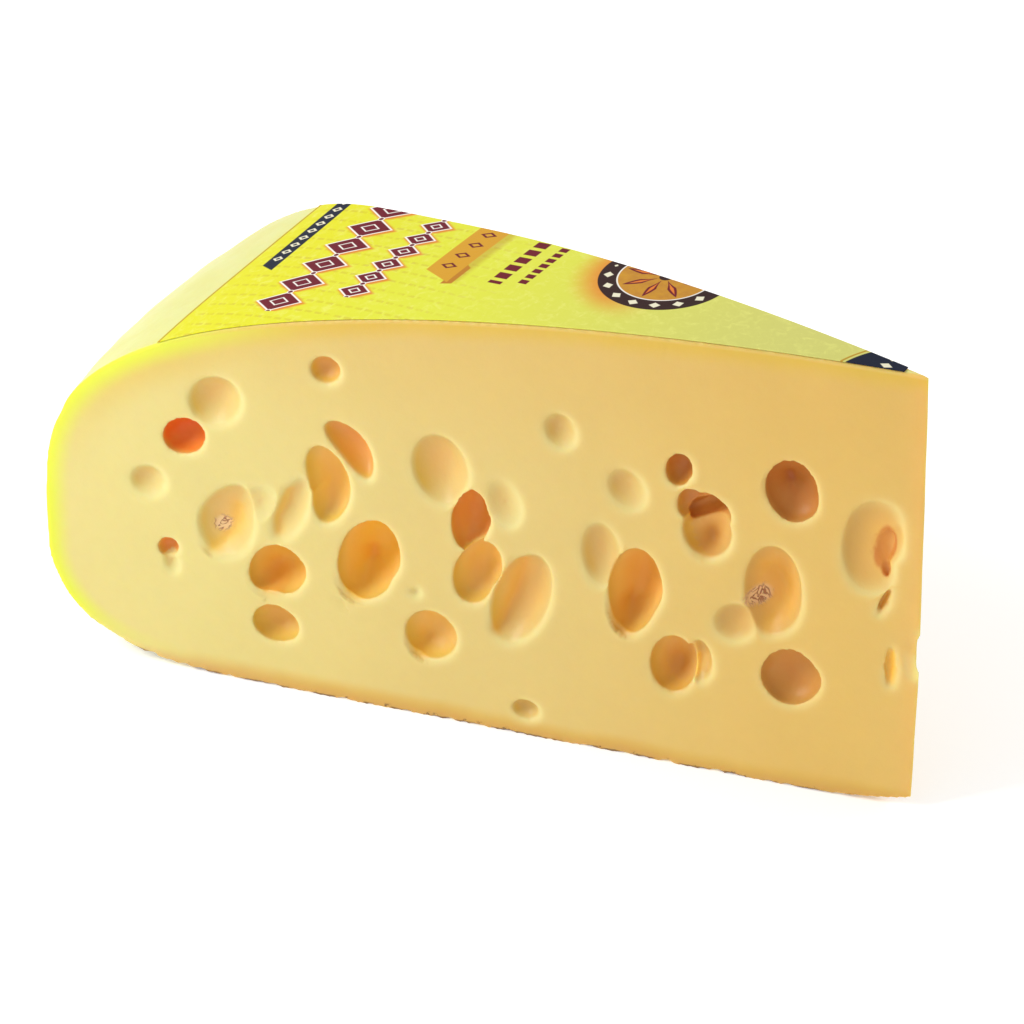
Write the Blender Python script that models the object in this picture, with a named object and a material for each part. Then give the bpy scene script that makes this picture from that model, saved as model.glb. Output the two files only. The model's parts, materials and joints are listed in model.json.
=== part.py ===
"""Wedge of large-eyed mountain cheese with a paper label on its crown.

The wedge is a slice of a low round wheel. Its two cut faces meet at the thin tip,
which was the middle of the wheel, and the rounded heel is the wheel's side.
Gas bubbles that the knife went through stand open on both cut faces.

Units are metres and +Z is up. The origin is on the base, under the middle of the
wedge's length and width. The tip points to +X, and the cut face with the measured
eyes, called the near face, is on the -Y side.
"""

import math
import random
from dataclasses import dataclass

import bmesh
import bpy
from mathutils import Matrix, Vector

# The wheel
WHEEL_RADIUS = 0.384
CROWN_HEIGHT = 0.2084
WAIST_HEIGHT = 0.065
CROWN_FALL = 2.02
CROWN_SHOULDER = 3.195
BASE_FLAT_RADIUS = 0.280
BASE_FALL = 3.08
BASE_CORNER = 2.76

# The cut
WEDGE_ANGLE = math.radians(20.8)
HALF_ANGLE = WEDGE_ANGLE / 2
TIP_WEAR = 0.004
TIP_WEAR_STEPS = 2
TIP_LIFT = 0.0063
TIP_LIFT_RUN = 0.055

# The shoulder is a little fuller towards the far cut face. The swell starts at this
# turn from the wedge's middle, as a share of the half angle, and ends at the face
SWELL_HEIGHT = 0.0042
SWELL_RADIUS = 0.315
SWELL_WIDTH = 0.040
SWELL_START = -0.4

# How finely the curved surfaces are divided
TURN_STEPS = 8
CROWN_STEPS = 18
CORNER_STEPS = 9
TIP_LIFT_STEPS = 3

# The paper label
LABEL_GAP = 0.0003
LABEL_THICKNESS = 0.0005
LABEL_EDGE_INSET = 0.0012
LABEL_TIP_CUT = 0.013
LABEL_REACH = 0.321
LABEL_SKEW = math.radians(4.15)

# How deep eyes go, as a share of the wedge's thickness there, from each face
DEEPEST_NEAR = 0.55
DEEPEST_FAR = 0.34

# Segments and rings of an eye's ball, by the half length that it starts at
BALL_DIVISIONS = ((0.012, 16, 8), (0.0065, 12, 6), (0.0, 10, 5))

# The far face's eyes
FAR_EYE_COUNT = 30
FAR_EYE_SEED = 11
FAR_EYE_RANGE = (0.050, 0.345)
FAR_EYE_MARGIN = 0.014
LARGEST_FAR_EYE = 0.0225
SMALLEST_FAR_EYE = 0.0045
FAR_EYE_WIDTHS = (0.55, 0.92)
FAR_EYE_TURNS = (60, 130)
FAR_EYE_SINKS = (-0.55, 0.35)
FAR_EYE_SPACING = 1.08
FAR_EYE_TRIES = 60

# The worn tip and the heel end the bounding box, and its middle is the origin
TIP_REACH = TIP_WEAR * math.cos(HALF_ANGLE) * (2 - math.sqrt(2))
AXIS_X = (WHEEL_RADIUS + TIP_REACH) / 2

PASTE_YELLOW = (0.86, 0.71, 0.32, 1.0)
LABEL_YELLOW = (0.80, 0.78, 0.12, 1.0)


@dataclass(frozen=True)
class Eye:
    """An open bubble in a cut face.

    along and up place its middle: the distance from the wheel's axis along the
    face, and the height over the base. half_long and half_short are the half axes
    of its rim, and turn is the angle of the long one from the face's length.
    sunk says how far the bubble's middle lies inside the cheese, as a share of its
    radius: it is negative for a shallow dimple. bend curves the rim like a bean,
    taper makes one end of the long axis wider, and lean moves the bottom of the
    bubble towards the heel.
    """

    along: float
    up: float
    half_long: float
    half_short: float
    turn: float
    sunk: float
    bend: float = 0.0
    taper: float = 0.0
    lean: float = 0.0


NEAR_EYES = (
    # Near the heel
    Eye(0.338, 0.091, 0.0085, 0.0075, 150, -0.55),
    Eye(0.3295, 0.0595, 0.0050, 0.0042, 126, 0.30),
    Eye(0.3285, 0.053, 0.0056, 0.0034, 85, -0.50),
    Eye(0.321, 0.116, 0.0097, 0.0080, 141, 0.35),
    Eye(0.307, 0.136, 0.0130, 0.0110, 133, -0.45),
    Eye(0.303, 0.078, 0.0190, 0.0125, 109, -0.55, taper=-0.15),
    Eye(0.288, 0.090, 0.0078, 0.0062, 128, -0.55),
    Eye(0.274, 0.090, 0.0180, 0.0060, 112, -0.50),
    Eye(0.281, 0.058, 0.0134, 0.0110, 138, 0.30, taper=0.10),
    Eye(0.282, 0.0315, 0.0098, 0.0090, 172, 0.25),
    # Between the heel and the middle
    Eye(0.258, 0.1605, 0.0070, 0.0065, 133, 0.05),
    Eye(0.2455, 0.125, 0.0140, 0.0065, 56, 0.30, bend=-0.20),
    Eye(0.2575, 0.1045, 0.0190, 0.0085, 85, 0.30, bend=0.16),
    Eye(0.2395, 0.072, 0.0200, 0.0130, 105, 0.20, taper=-0.12),
    Eye(0.220, 0.0605, 0.0025, 0.0019, 144, 0.00),
    Eye(0.213, 0.0405, 0.0122, 0.0115, 108, 0.00),
    # Around the middle
    Eye(0.2085, 0.1225, 0.0172, 0.0128, 83, -0.50),
    Eye(0.195, 0.101, 0.0145, 0.0083, 100, 0.35),
    Eye(0.192, 0.0755, 0.0165, 0.0095, 110, 0.10),
    Eye(0.181, 0.1125, 0.0115, 0.0072, 80, -0.80),
    Eye(0.1735, 0.067, 0.0243, 0.0120, 109, -0.30),
    Eye(0.1715, 0.0125, 0.0060, 0.0048, 178, 0.00),
    Eye(0.157, 0.152, 0.0085, 0.0068, 84, -0.50),
    # Between the middle and the tip
    Eye(0.139, 0.096, 0.0156, 0.0088, 87, -0.60),
    Eye(0.1285, 0.130, 0.0098, 0.0082, 68, -0.60),
    Eye(0.124, 0.0815, 0.0213, 0.0116, 98, 0.05, taper=0.10),
    Eye(0.106, 0.1435, 0.0077, 0.0054, 100, 0.30),
    Eye(0.1015, 0.1275, 0.0082, 0.0060, 94, 0.05),
    Eye(0.0935, 0.119, 0.0150, 0.0108, 90, 0.20),
    Eye(0.1075, 0.049, 0.0140, 0.0096, 97, 0.10),
    Eye(0.0955, 0.053, 0.0102, 0.0042, 87, -0.20),
    Eye(0.0815, 0.0755, 0.0102, 0.0084, 130, -0.60),
    # At the tip
    Eye(0.0655, 0.094, 0.0218, 0.0125, 91, -0.35),
    Eye(0.0585, 0.143, 0.0145, 0.0108, 88, 0.35),
    Eye(0.057, 0.0535, 0.0138, 0.0120, 112, 0.30),
    Eye(0.024, 0.124, 0.0225, 0.0122, 99, -0.30, lean=0.5),
    Eye(0.018, 0.0995, 0.0070, 0.0018, 112, 0.00, lean=0.5),
    Eye(0.0148, 0.068, 0.0100, 0.0027, 92, 0.00, lean=0.5),
    Eye(0.0036, 0.076, 0.0118, 0.0033, 97, 0.10),
)


@dataclass(frozen=True)
class CutFace:
    """One of the two cut faces. side is -1 for the near face and 1 for the far one."""

    side: int
    deepest: float

    @property
    def length_way(self):
        """The direction from the axis to the heel, in the face."""
        return Vector((-math.cos(HALF_ANGLE), self.side * math.sin(HALF_ANGLE), 0))

    @property
    def inward(self):
        """The direction into the cheese, square to the face."""
        return Vector((-math.sin(HALF_ANGLE), -self.side * math.cos(HALF_ANGLE), 0))

    def at(self, along, up, depth):
        """The point at this distance along the face, height and depth in the cheese."""
        foot = Vector((AXIS_X, 0, 0)) + self.length_way * along
        return foot + self.inward * depth + Vector((0, 0, up))


NEAR_FACE = CutFace(side=-1, deepest=DEEPEST_NEAR)
FAR_FACE = CutFace(side=1, deepest=DEEPEST_FAR)


def crown_height_at(radius):
    """The height of the wheel's top at this distance from its axis."""
    fall = (radius / WHEEL_RADIUS) ** CROWN_FALL
    rise = (1 - fall) ** (1 / CROWN_SHOULDER)
    return WAIST_HEIGHT + (CROWN_HEIGHT - WAIST_HEIGHT) * rise


def crown_outline():
    """(radius, height) along the wheel's top, from its axis to its waist."""
    points = []
    for step in range(CROWN_STEPS + 1):
        angle = math.pi / 2 * step / CROWN_STEPS
        radius = WHEEL_RADIUS * math.sin(angle) ** (2 / CROWN_FALL)
        rise = max(math.cos(angle), 0) ** (2 / CROWN_SHOULDER)
        points.append((radius, WAIST_HEIGHT + (CROWN_HEIGHT - WAIST_HEIGHT) * rise))
    return points


def base_outline():
    """(radius, height) from below the waist round the lower corner to the axis."""
    points = []
    for step in range(1, CORNER_STEPS + 1):
        angle = math.pi / 2 * step / CORNER_STEPS
        reach = max(math.cos(angle), 0) ** (2 / BASE_FALL)
        drop = math.sin(angle) ** (2 / BASE_CORNER)
        radius = BASE_FLAT_RADIUS + (WHEEL_RADIUS - BASE_FLAT_RADIUS) * reach
        points.append((radius, WAIST_HEIGHT * (1 - drop)))
    for step in range(TIP_LIFT_STEPS + 1):
        share = step / TIP_LIFT_STEPS
        points.append((TIP_LIFT_RUN * (1 - share), TIP_LIFT * share**2))
    return points


def swell(bm):
    """Raises the shoulder towards the far cut face."""
    for vert in bm.verts:
        reach = Vector((AXIS_X - vert.co.x, vert.co.y))
        if vert.co.z < WAIST_HEIGHT or reach.length == 0:
            continue
        turn = math.asin(reach.y / reach.length) / HALF_ANGLE
        share = min(max((turn - SWELL_START) / (1 - SWELL_START), 0), 1)
        ring = math.exp(-(((reach.length - SWELL_RADIUS) / SWELL_WIDTH) ** 2))
        vert.co.z += SWELL_HEIGHT * share**2 * ring


def spin_outline(bm, geometry):
    """Turns the geometry about the wheel's axis, from the near to the far cut face."""
    axis_foot = Vector((AXIS_X, 0, 0))
    bmesh.ops.rotate(
        bm,
        verts=bm.verts,
        cent=axis_foot,
        matrix=Matrix.Rotation(HALF_ANGLE, 3, "Z"),
    )
    bmesh.ops.spin(
        bm,
        geom=geometry,
        cent=axis_foot,
        axis=Vector((0, 0, 1)),
        angle=-WEDGE_ANGLE,
        steps=TURN_STEPS,
    )
    bmesh.ops.remove_doubles(bm, verts=bm.verts, dist=1e-6)


def outline_verts(bm, points):
    """A vertex for each (radius, height), in the plane of the wedge's middle."""
    return [bm.verts.new((AXIS_X - radius, 0, height)) for radius, height in points]


def finish_object(name, bm, material, collection):
    """Makes an object of the bmesh, with its material, in the collection."""
    mesh = bpy.data.meshes.new(name)
    bm.to_mesh(mesh)
    bm.free()
    if material is not None:
        mesh.materials.append(material)
    obj = bpy.data.objects.new(name, mesh)
    collection.objects.link(obj)
    return obj


def make_material(name, colour, roughness, subsurface=0.0):
    """A Principled material with this colour and roughness."""
    material = bpy.data.materials.new(name)
    material.use_nodes = True
    shader = material.node_tree.nodes["Principled BSDF"]
    shader.inputs["Base Color"].default_value = colour
    shader.inputs["Roughness"].default_value = roughness
    shader.inputs["Metallic"].default_value = 0.0
    shader.inputs["Subsurface Weight"].default_value = subsurface
    material.diffuse_color = colour
    return material


def make_wedge(material, collection):
    """The whole wedge before its eyes are opened."""
    bm = bmesh.new()
    verts = outline_verts(bm, crown_outline() + base_outline())
    face = bm.faces.new(verts)
    spin_outline(bm, [face, *face.edges, *face.verts])
    swell(bm)
    tip_edges = [
        edge
        for edge in bm.edges
        if all(abs(vert.co.x - AXIS_X) < 1e-5 for vert in edge.verts)
    ]
    bmesh.ops.bevel(
        bm,
        geom=tip_edges,
        offset=TIP_WEAR,
        offset_type="OFFSET",
        segments=TIP_WEAR_STEPS,
        profile=0.5,
        affect="EDGES",
        material=-1,
    )
    bmesh.ops.recalc_face_normals(bm, faces=bm.faces)
    return finish_object("cheese_wedge", bm, material, collection)


def make_label(material, collection):
    """The paper label: the crown's surface, trimmed inside the cut edges."""
    bm = bmesh.new()
    verts = outline_verts(bm, crown_outline())
    edges = [bm.edges.new(pair) for pair in zip(verts, verts[1:])]
    spin_outline(bm, [*edges, *verts])
    swell(bm)
    reach_way = Vector((-math.cos(LABEL_SKEW), math.sin(LABEL_SKEW), 0))
    trims = [
        (NEAR_FACE.at(0, 0, LABEL_EDGE_INSET), -NEAR_FACE.inward),
        (FAR_FACE.at(0, 0, LABEL_EDGE_INSET), -FAR_FACE.inward),
        (Vector((AXIS_X - LABEL_TIP_CUT, 0, 0)), Vector((1, 0, 0))),
        (Vector((AXIS_X, 0, 0)) + reach_way * LABEL_REACH, reach_way),
    ]
    for point, outward in trims:
        geometry = [*bm.verts, *bm.edges, *bm.faces]
        bmesh.ops.bisect_plane(
            bm, geom=geometry, plane_co=point, plane_no=outward, clear_outer=True
        )
    bmesh.ops.translate(bm, verts=bm.verts, vec=(0, 0, LABEL_GAP))
    top = bmesh.ops.extrude_face_region(bm, geom=list(bm.faces))["geom"]
    top_verts = [item for item in top if isinstance(item, bmesh.types.BMVert)]
    bmesh.ops.translate(bm, verts=top_verts, vec=(0, 0, LABEL_THICKNESS))
    bmesh.ops.recalc_face_normals(bm, faces=bm.faces)
    return finish_object("top_label", bm, material, collection)


def eye_depth(eye, face):
    """How deep the eye goes, kept inside its share of the wedge's thickness."""
    radius = math.sqrt(eye.half_long * eye.half_short) / math.sqrt(1 - eye.sunk**2)
    thickness = 2 * max(eye.along, TIP_WEAR) * math.sin(HALF_ANGLE)
    return min(radius * (1 + eye.sunk), face.deepest * thickness)


def make_eye_cutter(name, eye, face, collection):
    """The bubble that opens one eye, as a shaped ball across its cut face."""
    _, across, rings = next(size for size in BALL_DIVISIONS if eye.half_long > size[0])
    bm = bmesh.new()
    bmesh.ops.create_uvsphere(bm, u_segments=across, v_segments=rings, radius=1)
    rim_share = math.sqrt(1 - eye.sunk**2)
    ball_depth = eye_depth(eye, face) / (1 + eye.sunk)
    turn = math.radians(eye.turn)
    for vert in bm.verts:
        x, y, z = vert.co
        long_way = eye.half_long / rim_share * x
        short_way = eye.half_short / rim_share * y * (1 + eye.taper * x)
        short_way += eye.bend * eye.half_long * (x * x - 0.5)
        depth = ball_depth * (z + eye.sunk)
        along = eye.along + long_way * math.cos(turn) - short_way * math.sin(turn)
        up = eye.up + long_way * math.sin(turn) + short_way * math.cos(turn)
        vert.co = face.at(along + eye.lean * depth, up, depth)
    if face.side > 0:
        bmesh.ops.reverse_faces(bm, faces=bm.faces)
    cutter = finish_object(name, bm, None, collection)
    cutter.hide_render = True
    cutter.display_type = "WIRE"
    return cutter


def eyes_apart(eye, other):
    """Whether two eyes leave cheese between their rims."""
    distance = math.hypot(eye.along - other.along, eye.up - other.up)
    return distance > FAR_EYE_SPACING * (eye.half_long + other.half_long)


def far_eyes():
    """Eyes for the far face, the largest first, scattered by a seeded rule."""
    draws = random.Random(FAR_EYE_SEED)
    eyes = []
    for number in range(FAR_EYE_COUNT):
        share = number / (FAR_EYE_COUNT - 1)
        size = LARGEST_FAR_EYE * (SMALLEST_FAR_EYE / LARGEST_FAR_EYE) ** share
        for _ in range(FAR_EYE_TRIES):
            along = draws.uniform(*FAR_EYE_RANGE)
            roof = crown_height_at(along) - FAR_EYE_MARGIN - size
            eye = Eye(
                along=along,
                up=draws.uniform(FAR_EYE_MARGIN + size, roof),
                half_long=size,
                half_short=size * draws.uniform(*FAR_EYE_WIDTHS),
                turn=draws.uniform(*FAR_EYE_TURNS),
                sunk=draws.uniform(*FAR_EYE_SINKS),
            )
            if all(eyes_apart(eye, other) for other in eyes):
                eyes.append(eye)
                break
    return eyes


def open_eyes(wedge, cutters):
    """Opens all eyes of the collection in the wedge."""
    modifier = wedge.modifiers.new("open_eyes", "BOOLEAN")
    modifier.operation = "DIFFERENCE"
    modifier.operand_type = "COLLECTION"
    modifier.collection = cutters
    modifier.solver = "EXACT"


def main():
    """Builds the wedge with its eyes, and its label."""
    for obj in list(bpy.data.objects):
        bpy.data.objects.remove(obj, do_unlink=True)

    parts = bpy.data.collections.new("cheese_wedge")
    cutters = bpy.data.collections.new("eye_cutters")
    for collection in (parts, cutters):
        bpy.context.scene.collection.children.link(collection)

    paste = make_material("cheese_paste", PASTE_YELLOW, roughness=0.45, subsurface=0.3)
    paper = make_material("label_paper", LABEL_YELLOW, roughness=0.40)

    wedge = make_wedge(paste, parts)
    for face, eyes, name in (
        (NEAR_FACE, NEAR_EYES, "near_eye"),
        (FAR_FACE, far_eyes(), "far_eye"),
    ):
        for number, eye in enumerate(eyes, start=1):
            make_eye_cutter(f"{name}_{number}", eye, face, cutters)
    open_eyes(wedge, cutters)
    make_label(paper, parts)


main()
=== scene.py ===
"""The looks of a wedge of large-eyed mountain cheese with a printed paper label.

The wedge is a slice of a low round wheel. It is modelled again here from the wheel's
own sizes, finer than the construction model: its eyes are opened as bubbles, its edges
are worn, its foot is chipped, and the paper lies on its crown with a printed design.

Sizes are in metres, and everything stands where the construction model stands: +Z is
up, the tip points to +X, and the near cut face is on the -Y side.
"""

import json
import logging
import math
import random
from collections.abc import Callable
from dataclasses import dataclass, field
from enum import Enum, IntEnum
from functools import reduce

import bmesh
import bpy
import numpy as np
from mathutils import Matrix, Vector, noise

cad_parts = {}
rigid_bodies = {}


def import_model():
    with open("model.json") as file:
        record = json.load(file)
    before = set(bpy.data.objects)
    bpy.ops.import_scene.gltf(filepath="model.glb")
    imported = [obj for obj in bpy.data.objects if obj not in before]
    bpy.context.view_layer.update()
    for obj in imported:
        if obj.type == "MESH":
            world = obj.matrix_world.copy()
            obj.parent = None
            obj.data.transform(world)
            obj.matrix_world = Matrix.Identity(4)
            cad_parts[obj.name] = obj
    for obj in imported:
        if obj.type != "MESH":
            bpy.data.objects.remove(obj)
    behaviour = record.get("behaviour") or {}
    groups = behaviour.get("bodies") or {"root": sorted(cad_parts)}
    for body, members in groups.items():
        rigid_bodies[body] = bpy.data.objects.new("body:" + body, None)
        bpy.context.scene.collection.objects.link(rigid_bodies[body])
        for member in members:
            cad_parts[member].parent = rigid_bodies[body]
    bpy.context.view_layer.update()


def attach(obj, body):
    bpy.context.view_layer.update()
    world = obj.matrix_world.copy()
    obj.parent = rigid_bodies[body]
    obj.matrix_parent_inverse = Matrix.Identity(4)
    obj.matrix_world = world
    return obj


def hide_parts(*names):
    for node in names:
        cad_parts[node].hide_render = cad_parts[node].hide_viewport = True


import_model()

log = logging.getLogger("cheese_wedge")

MERGE_DISTANCE = 1e-6
WEDGE_NODE = "cheese_wedge"
LABEL_NODE = "top_label"

Colour = tuple[float, float, float]


def ramp(values: np.ndarray, low: float, high: float) -> np.ndarray:
    """0 up to low, 1 from high on, and straight between them, or the other way round."""
    return np.clip((values - low) / (high - low), 0, 1)


def turned(x: float, y: float, degrees: float) -> tuple[float, float]:
    """The place (x, y) turned about the origin."""
    turn = math.radians(degrees)
    return x * math.cos(turn) - y * math.sin(turn), x * math.sin(turn) + y * math.cos(turn)


class Side(IntEnum):
    """The two cut faces, by the sign of Y that they are on."""

    NEAR = -1
    FAR = 1


class Blend(Enum):
    """How one colour is laid over another."""

    COVER = "MIX"
    STAIN = "MULTIPLY"


@dataclass(frozen=True)
class Wheel:
    """The wheel of cheese: a crown that falls to the waist, and a lower corner."""

    radius: float = 0.384
    crown_height: float = 0.2084
    waist_height: float = 0.065
    crown_fall: float = 2.02
    crown_shoulder: float = 3.195
    base_flat_radius: float = 0.280
    base_fall: float = 3.08
    base_corner: float = 2.76
    tip_lift: float = 0.0063
    tip_lift_run: float = 0.055
    swell_height: float = 0.0042
    swell_radius: float = 0.315
    swell_width: float = 0.040
    swell_start: float = -0.4

    @property
    def crown_rise(self) -> float:
        """The height of the crown over the waist."""
        return self.crown_height - self.waist_height

    @property
    def corner_run(self) -> float:
        """The length of the lower corner, from the flat base to the waist."""
        return self.radius - self.base_flat_radius

    def crown_height_at(self, radius: float) -> float:
        """The height of the wheel's top at this distance from its axis."""
        fall = (radius / self.radius) ** self.crown_fall
        return self.waist_height + self.crown_rise * (1 - fall) ** (
            1 / self.crown_shoulder
        )

    def crown_outline(self, steps: int) -> list[tuple[float, float]]:
        """The wheel's top from its axis to its waist.

        Args:
            steps: How many stretches the outline has.

        Returns:
            A (radius, height) pair for each point.
        """
        points = []
        for step in range(steps + 1):
            angle = math.pi / 2 * step / steps
            radius = self.radius * math.sin(angle) ** (2 / self.crown_fall)
            rise = max(math.cos(angle), 0) ** (2 / self.crown_shoulder)
            points.append((radius, self.waist_height + self.crown_rise * rise))
        return points

    def base_outline(self, corner_steps: int, lift_steps: int) -> list[tuple[float, float]]:
        """The wheel's foot from below the waist, round the lower corner, to the axis.

        Args:
            corner_steps: How many stretches the lower corner has.
            lift_steps: How many stretches the lifted part under the tip has.

        Returns:
            A (radius, height) pair for each point.
        """
        points = []
        for step in range(1, corner_steps + 1):
            angle = math.pi / 2 * step / corner_steps
            reach = max(math.cos(angle), 0) ** (2 / self.base_fall)
            drop = math.sin(angle) ** (2 / self.base_corner)
            radius = self.base_flat_radius + self.corner_run * reach
            points.append((radius, self.waist_height * (1 - drop)))
        for step in range(lift_steps + 1):
            share = step / lift_steps
            points.append((self.tip_lift_run * (1 - share), self.tip_lift * share**2))
        return points

    def base_height_at(self, radius: float) -> float:
        """The height of the wheel's foot at this distance from its axis."""
        out = max(radius - self.base_flat_radius, 0) / self.corner_run
        return self.waist_height * (1 - (1 - out**self.base_fall) ** (1 / self.base_corner))

    def swell_at(self, radius: float, turn: float) -> float:
        """How much the shoulder is raised.

        Args:
            radius: The distance from the wheel's axis.
            turn: The turn from the wedge's middle, as a share of the half angle.

        Returns:
            The rise over the plain wheel.
        """
        share = (turn - self.swell_start) / (1 - self.swell_start)
        share = min(max(share, 0), 1)
        ring = math.exp(-(((radius - self.swell_radius) / self.swell_width) ** 2))
        return self.swell_height * share**2 * ring


@dataclass(frozen=True)
class FacePlaces:
    """Where points lie, measured from one cut face."""

    along: np.ndarray
    up: np.ndarray
    depth: np.ndarray

    def only(self, chosen: np.ndarray) -> "FacePlaces":
        """The places of the chosen points."""
        return FacePlaces(self.along[chosen], self.up[chosen], self.depth[chosen])


@dataclass(frozen=True)
class Slice:
    """How the wedge is cut from its wheel."""

    wheel: Wheel = Wheel()
    half_angle: float = math.radians(10.4)
    tip_wear: float = 0.004

    @property
    def axis_x(self) -> float:
        """Where the wheel's axis stands, with the wedge's length centred on zero."""
        tip_reach = self.tip_wear * math.cos(self.half_angle) * (2 - math.sqrt(2))
        return (self.wheel.radius + tip_reach) / 2

    @property
    def axis_foot(self) -> Vector:
        """The wheel's axis at the height of the base."""
        return Vector((self.axis_x, 0, 0))

    def length_way(self, side: Side) -> Vector:
        """The direction from the axis to the heel, in a cut face."""
        return Vector((-math.cos(self.half_angle), side * math.sin(self.half_angle), 0))

    def inward(self, side: Side) -> Vector:
        """The direction into the cheese, square to a cut face."""
        return Vector((-math.sin(self.half_angle), -side * math.cos(self.half_angle), 0))

    def at(self, side: Side, along: float, up: float, depth: float) -> Vector:
        """A point by its place on a cut face.

        Args:
            side: The cut face.
            along: The distance from the wheel's axis along the face.
            up: The height over the base.
            depth: The distance into the cheese.

        Returns:
            The point in the frame.
        """
        foot = self.axis_foot + self.length_way(side) * along
        return foot + self.inward(side) * depth + Vector((0, 0, up))

    def measure(self, points: np.ndarray, side: Side) -> FacePlaces:
        """Measures points from a cut face.

        Args:
            points: One row of three coordinates for each point.
            side: The cut face.

        Returns:
            Their places.
        """
        offset = points - np.array(self.axis_foot)
        return FacePlaces(
            offset @ np.array(self.length_way(side)),
            points[:, 2],
            offset @ np.array(self.inward(side)),
        )

    def spin(self, bm: bmesh.types.BMesh, geometry: list, steps: int) -> None:
        """Turns an outline about the wheel's axis, from the near to the far face.

        Args:
            bm: The mesh that holds the outline, in the plane of the wedge's middle.
            geometry: The outline's vertices, edges and faces.
            steps: How many stretches the turn has.
        """
        bmesh.ops.rotate(
            bm,
            verts=bm.verts,
            cent=self.axis_foot,
            matrix=Matrix.Rotation(self.half_angle, 3, "Z"),
        )
        bmesh.ops.spin(
            bm,
            geom=geometry,
            cent=self.axis_foot,
            axis=Vector((0, 0, 1)),
            angle=-2 * self.half_angle,
            steps=steps,
        )
        bmesh.ops.remove_doubles(bm, verts=bm.verts, dist=MERGE_DISTANCE)

    def swell(self, bm: bmesh.types.BMesh) -> None:
        """Raises the shoulder of a spun outline towards the far cut face.

        Args:
            bm: The mesh that holds the outline.
        """
        for vert in bm.verts:
            reach = Vector((self.axis_x - vert.co.x, vert.co.y))
            if vert.co.z < self.wheel.waist_height or reach.length == 0:
                continue
            turn = math.asin(reach.y / reach.length) / self.half_angle
            vert.co.z += self.wheel.swell_at(reach.length, turn)


@dataclass(frozen=True)
class Bulge:
    """A place where an eye's rim stands out from its oval, or in if rise is negative.

    toward is the way from the eye's middle and spread is how wide the bulge is, both in
    degrees: 0 is towards the heel and 90 is up. rise is a share of the eye's size.
    """

    toward: float
    spread: float
    rise: float

    def rise_at(self, way: float) -> float:
        """How far the rim stands out this way, as a share of the eye's size."""
        apart = (way - self.toward + 180) % 360 - 180
        return self.rise * math.exp(-((apart / self.spread) ** 2))


@dataclass(frozen=True)
class Eye:
    """An open bubble in a cut face.

    along and up place its middle on the face. half_long and half_short are the half
    axes of its rim, and turn is the angle of the long one from the face's length, in
    degrees. sunk says how far the bubble's middle lies inside the cheese, as a share
    of its radius. bend curves the rim like a bean, taper makes one end of the long
    axis wider, and lean moves the bottom towards the heel. bulges shape the rim, and
    ruddy says how much painted warm shade lies deep inside.
    """

    along: float
    up: float
    half_long: float
    half_short: float
    turn: float
    sunk: float
    bend: float = 0.0
    taper: float = 0.0
    lean: float = 0.0
    bulges: tuple[Bulge, ...] = ()
    warm_shade: float = 0.0

    @property
    def rim_share(self) -> float:
        """The rim's radius as a share of the bubble's."""
        return math.sqrt(1 - self.sunk**2)

    def depth(self, deepest: float) -> float:
        """How deep the eye goes, and never deeper than the given depth."""
        radius = math.sqrt(self.half_long * self.half_short) / self.rim_share
        return min(radius * (1 + self.sunk), deepest)

    def spot(self, x: float, y: float) -> tuple[float, float]:
        """A place in the eye.

        Args:
            x: The share of the half length, from the middle along the long axis.
            y: The share of the half width, across it.

        Returns:
            The distance along the face and the height, both from the eye's middle.
        """
        short_way = self.half_short * y * (1 + self.taper * x)
        short_way += self.bend * self.half_long * (x * x - 0.5)
        along, up = turned(self.half_long * x, short_way, self.turn)
        way = math.degrees(math.atan2(up, along))
        fullness = 1 + sum(bulge.rise_at(way) for bulge in self.bulges)
        return along * fullness, up * fullness


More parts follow.
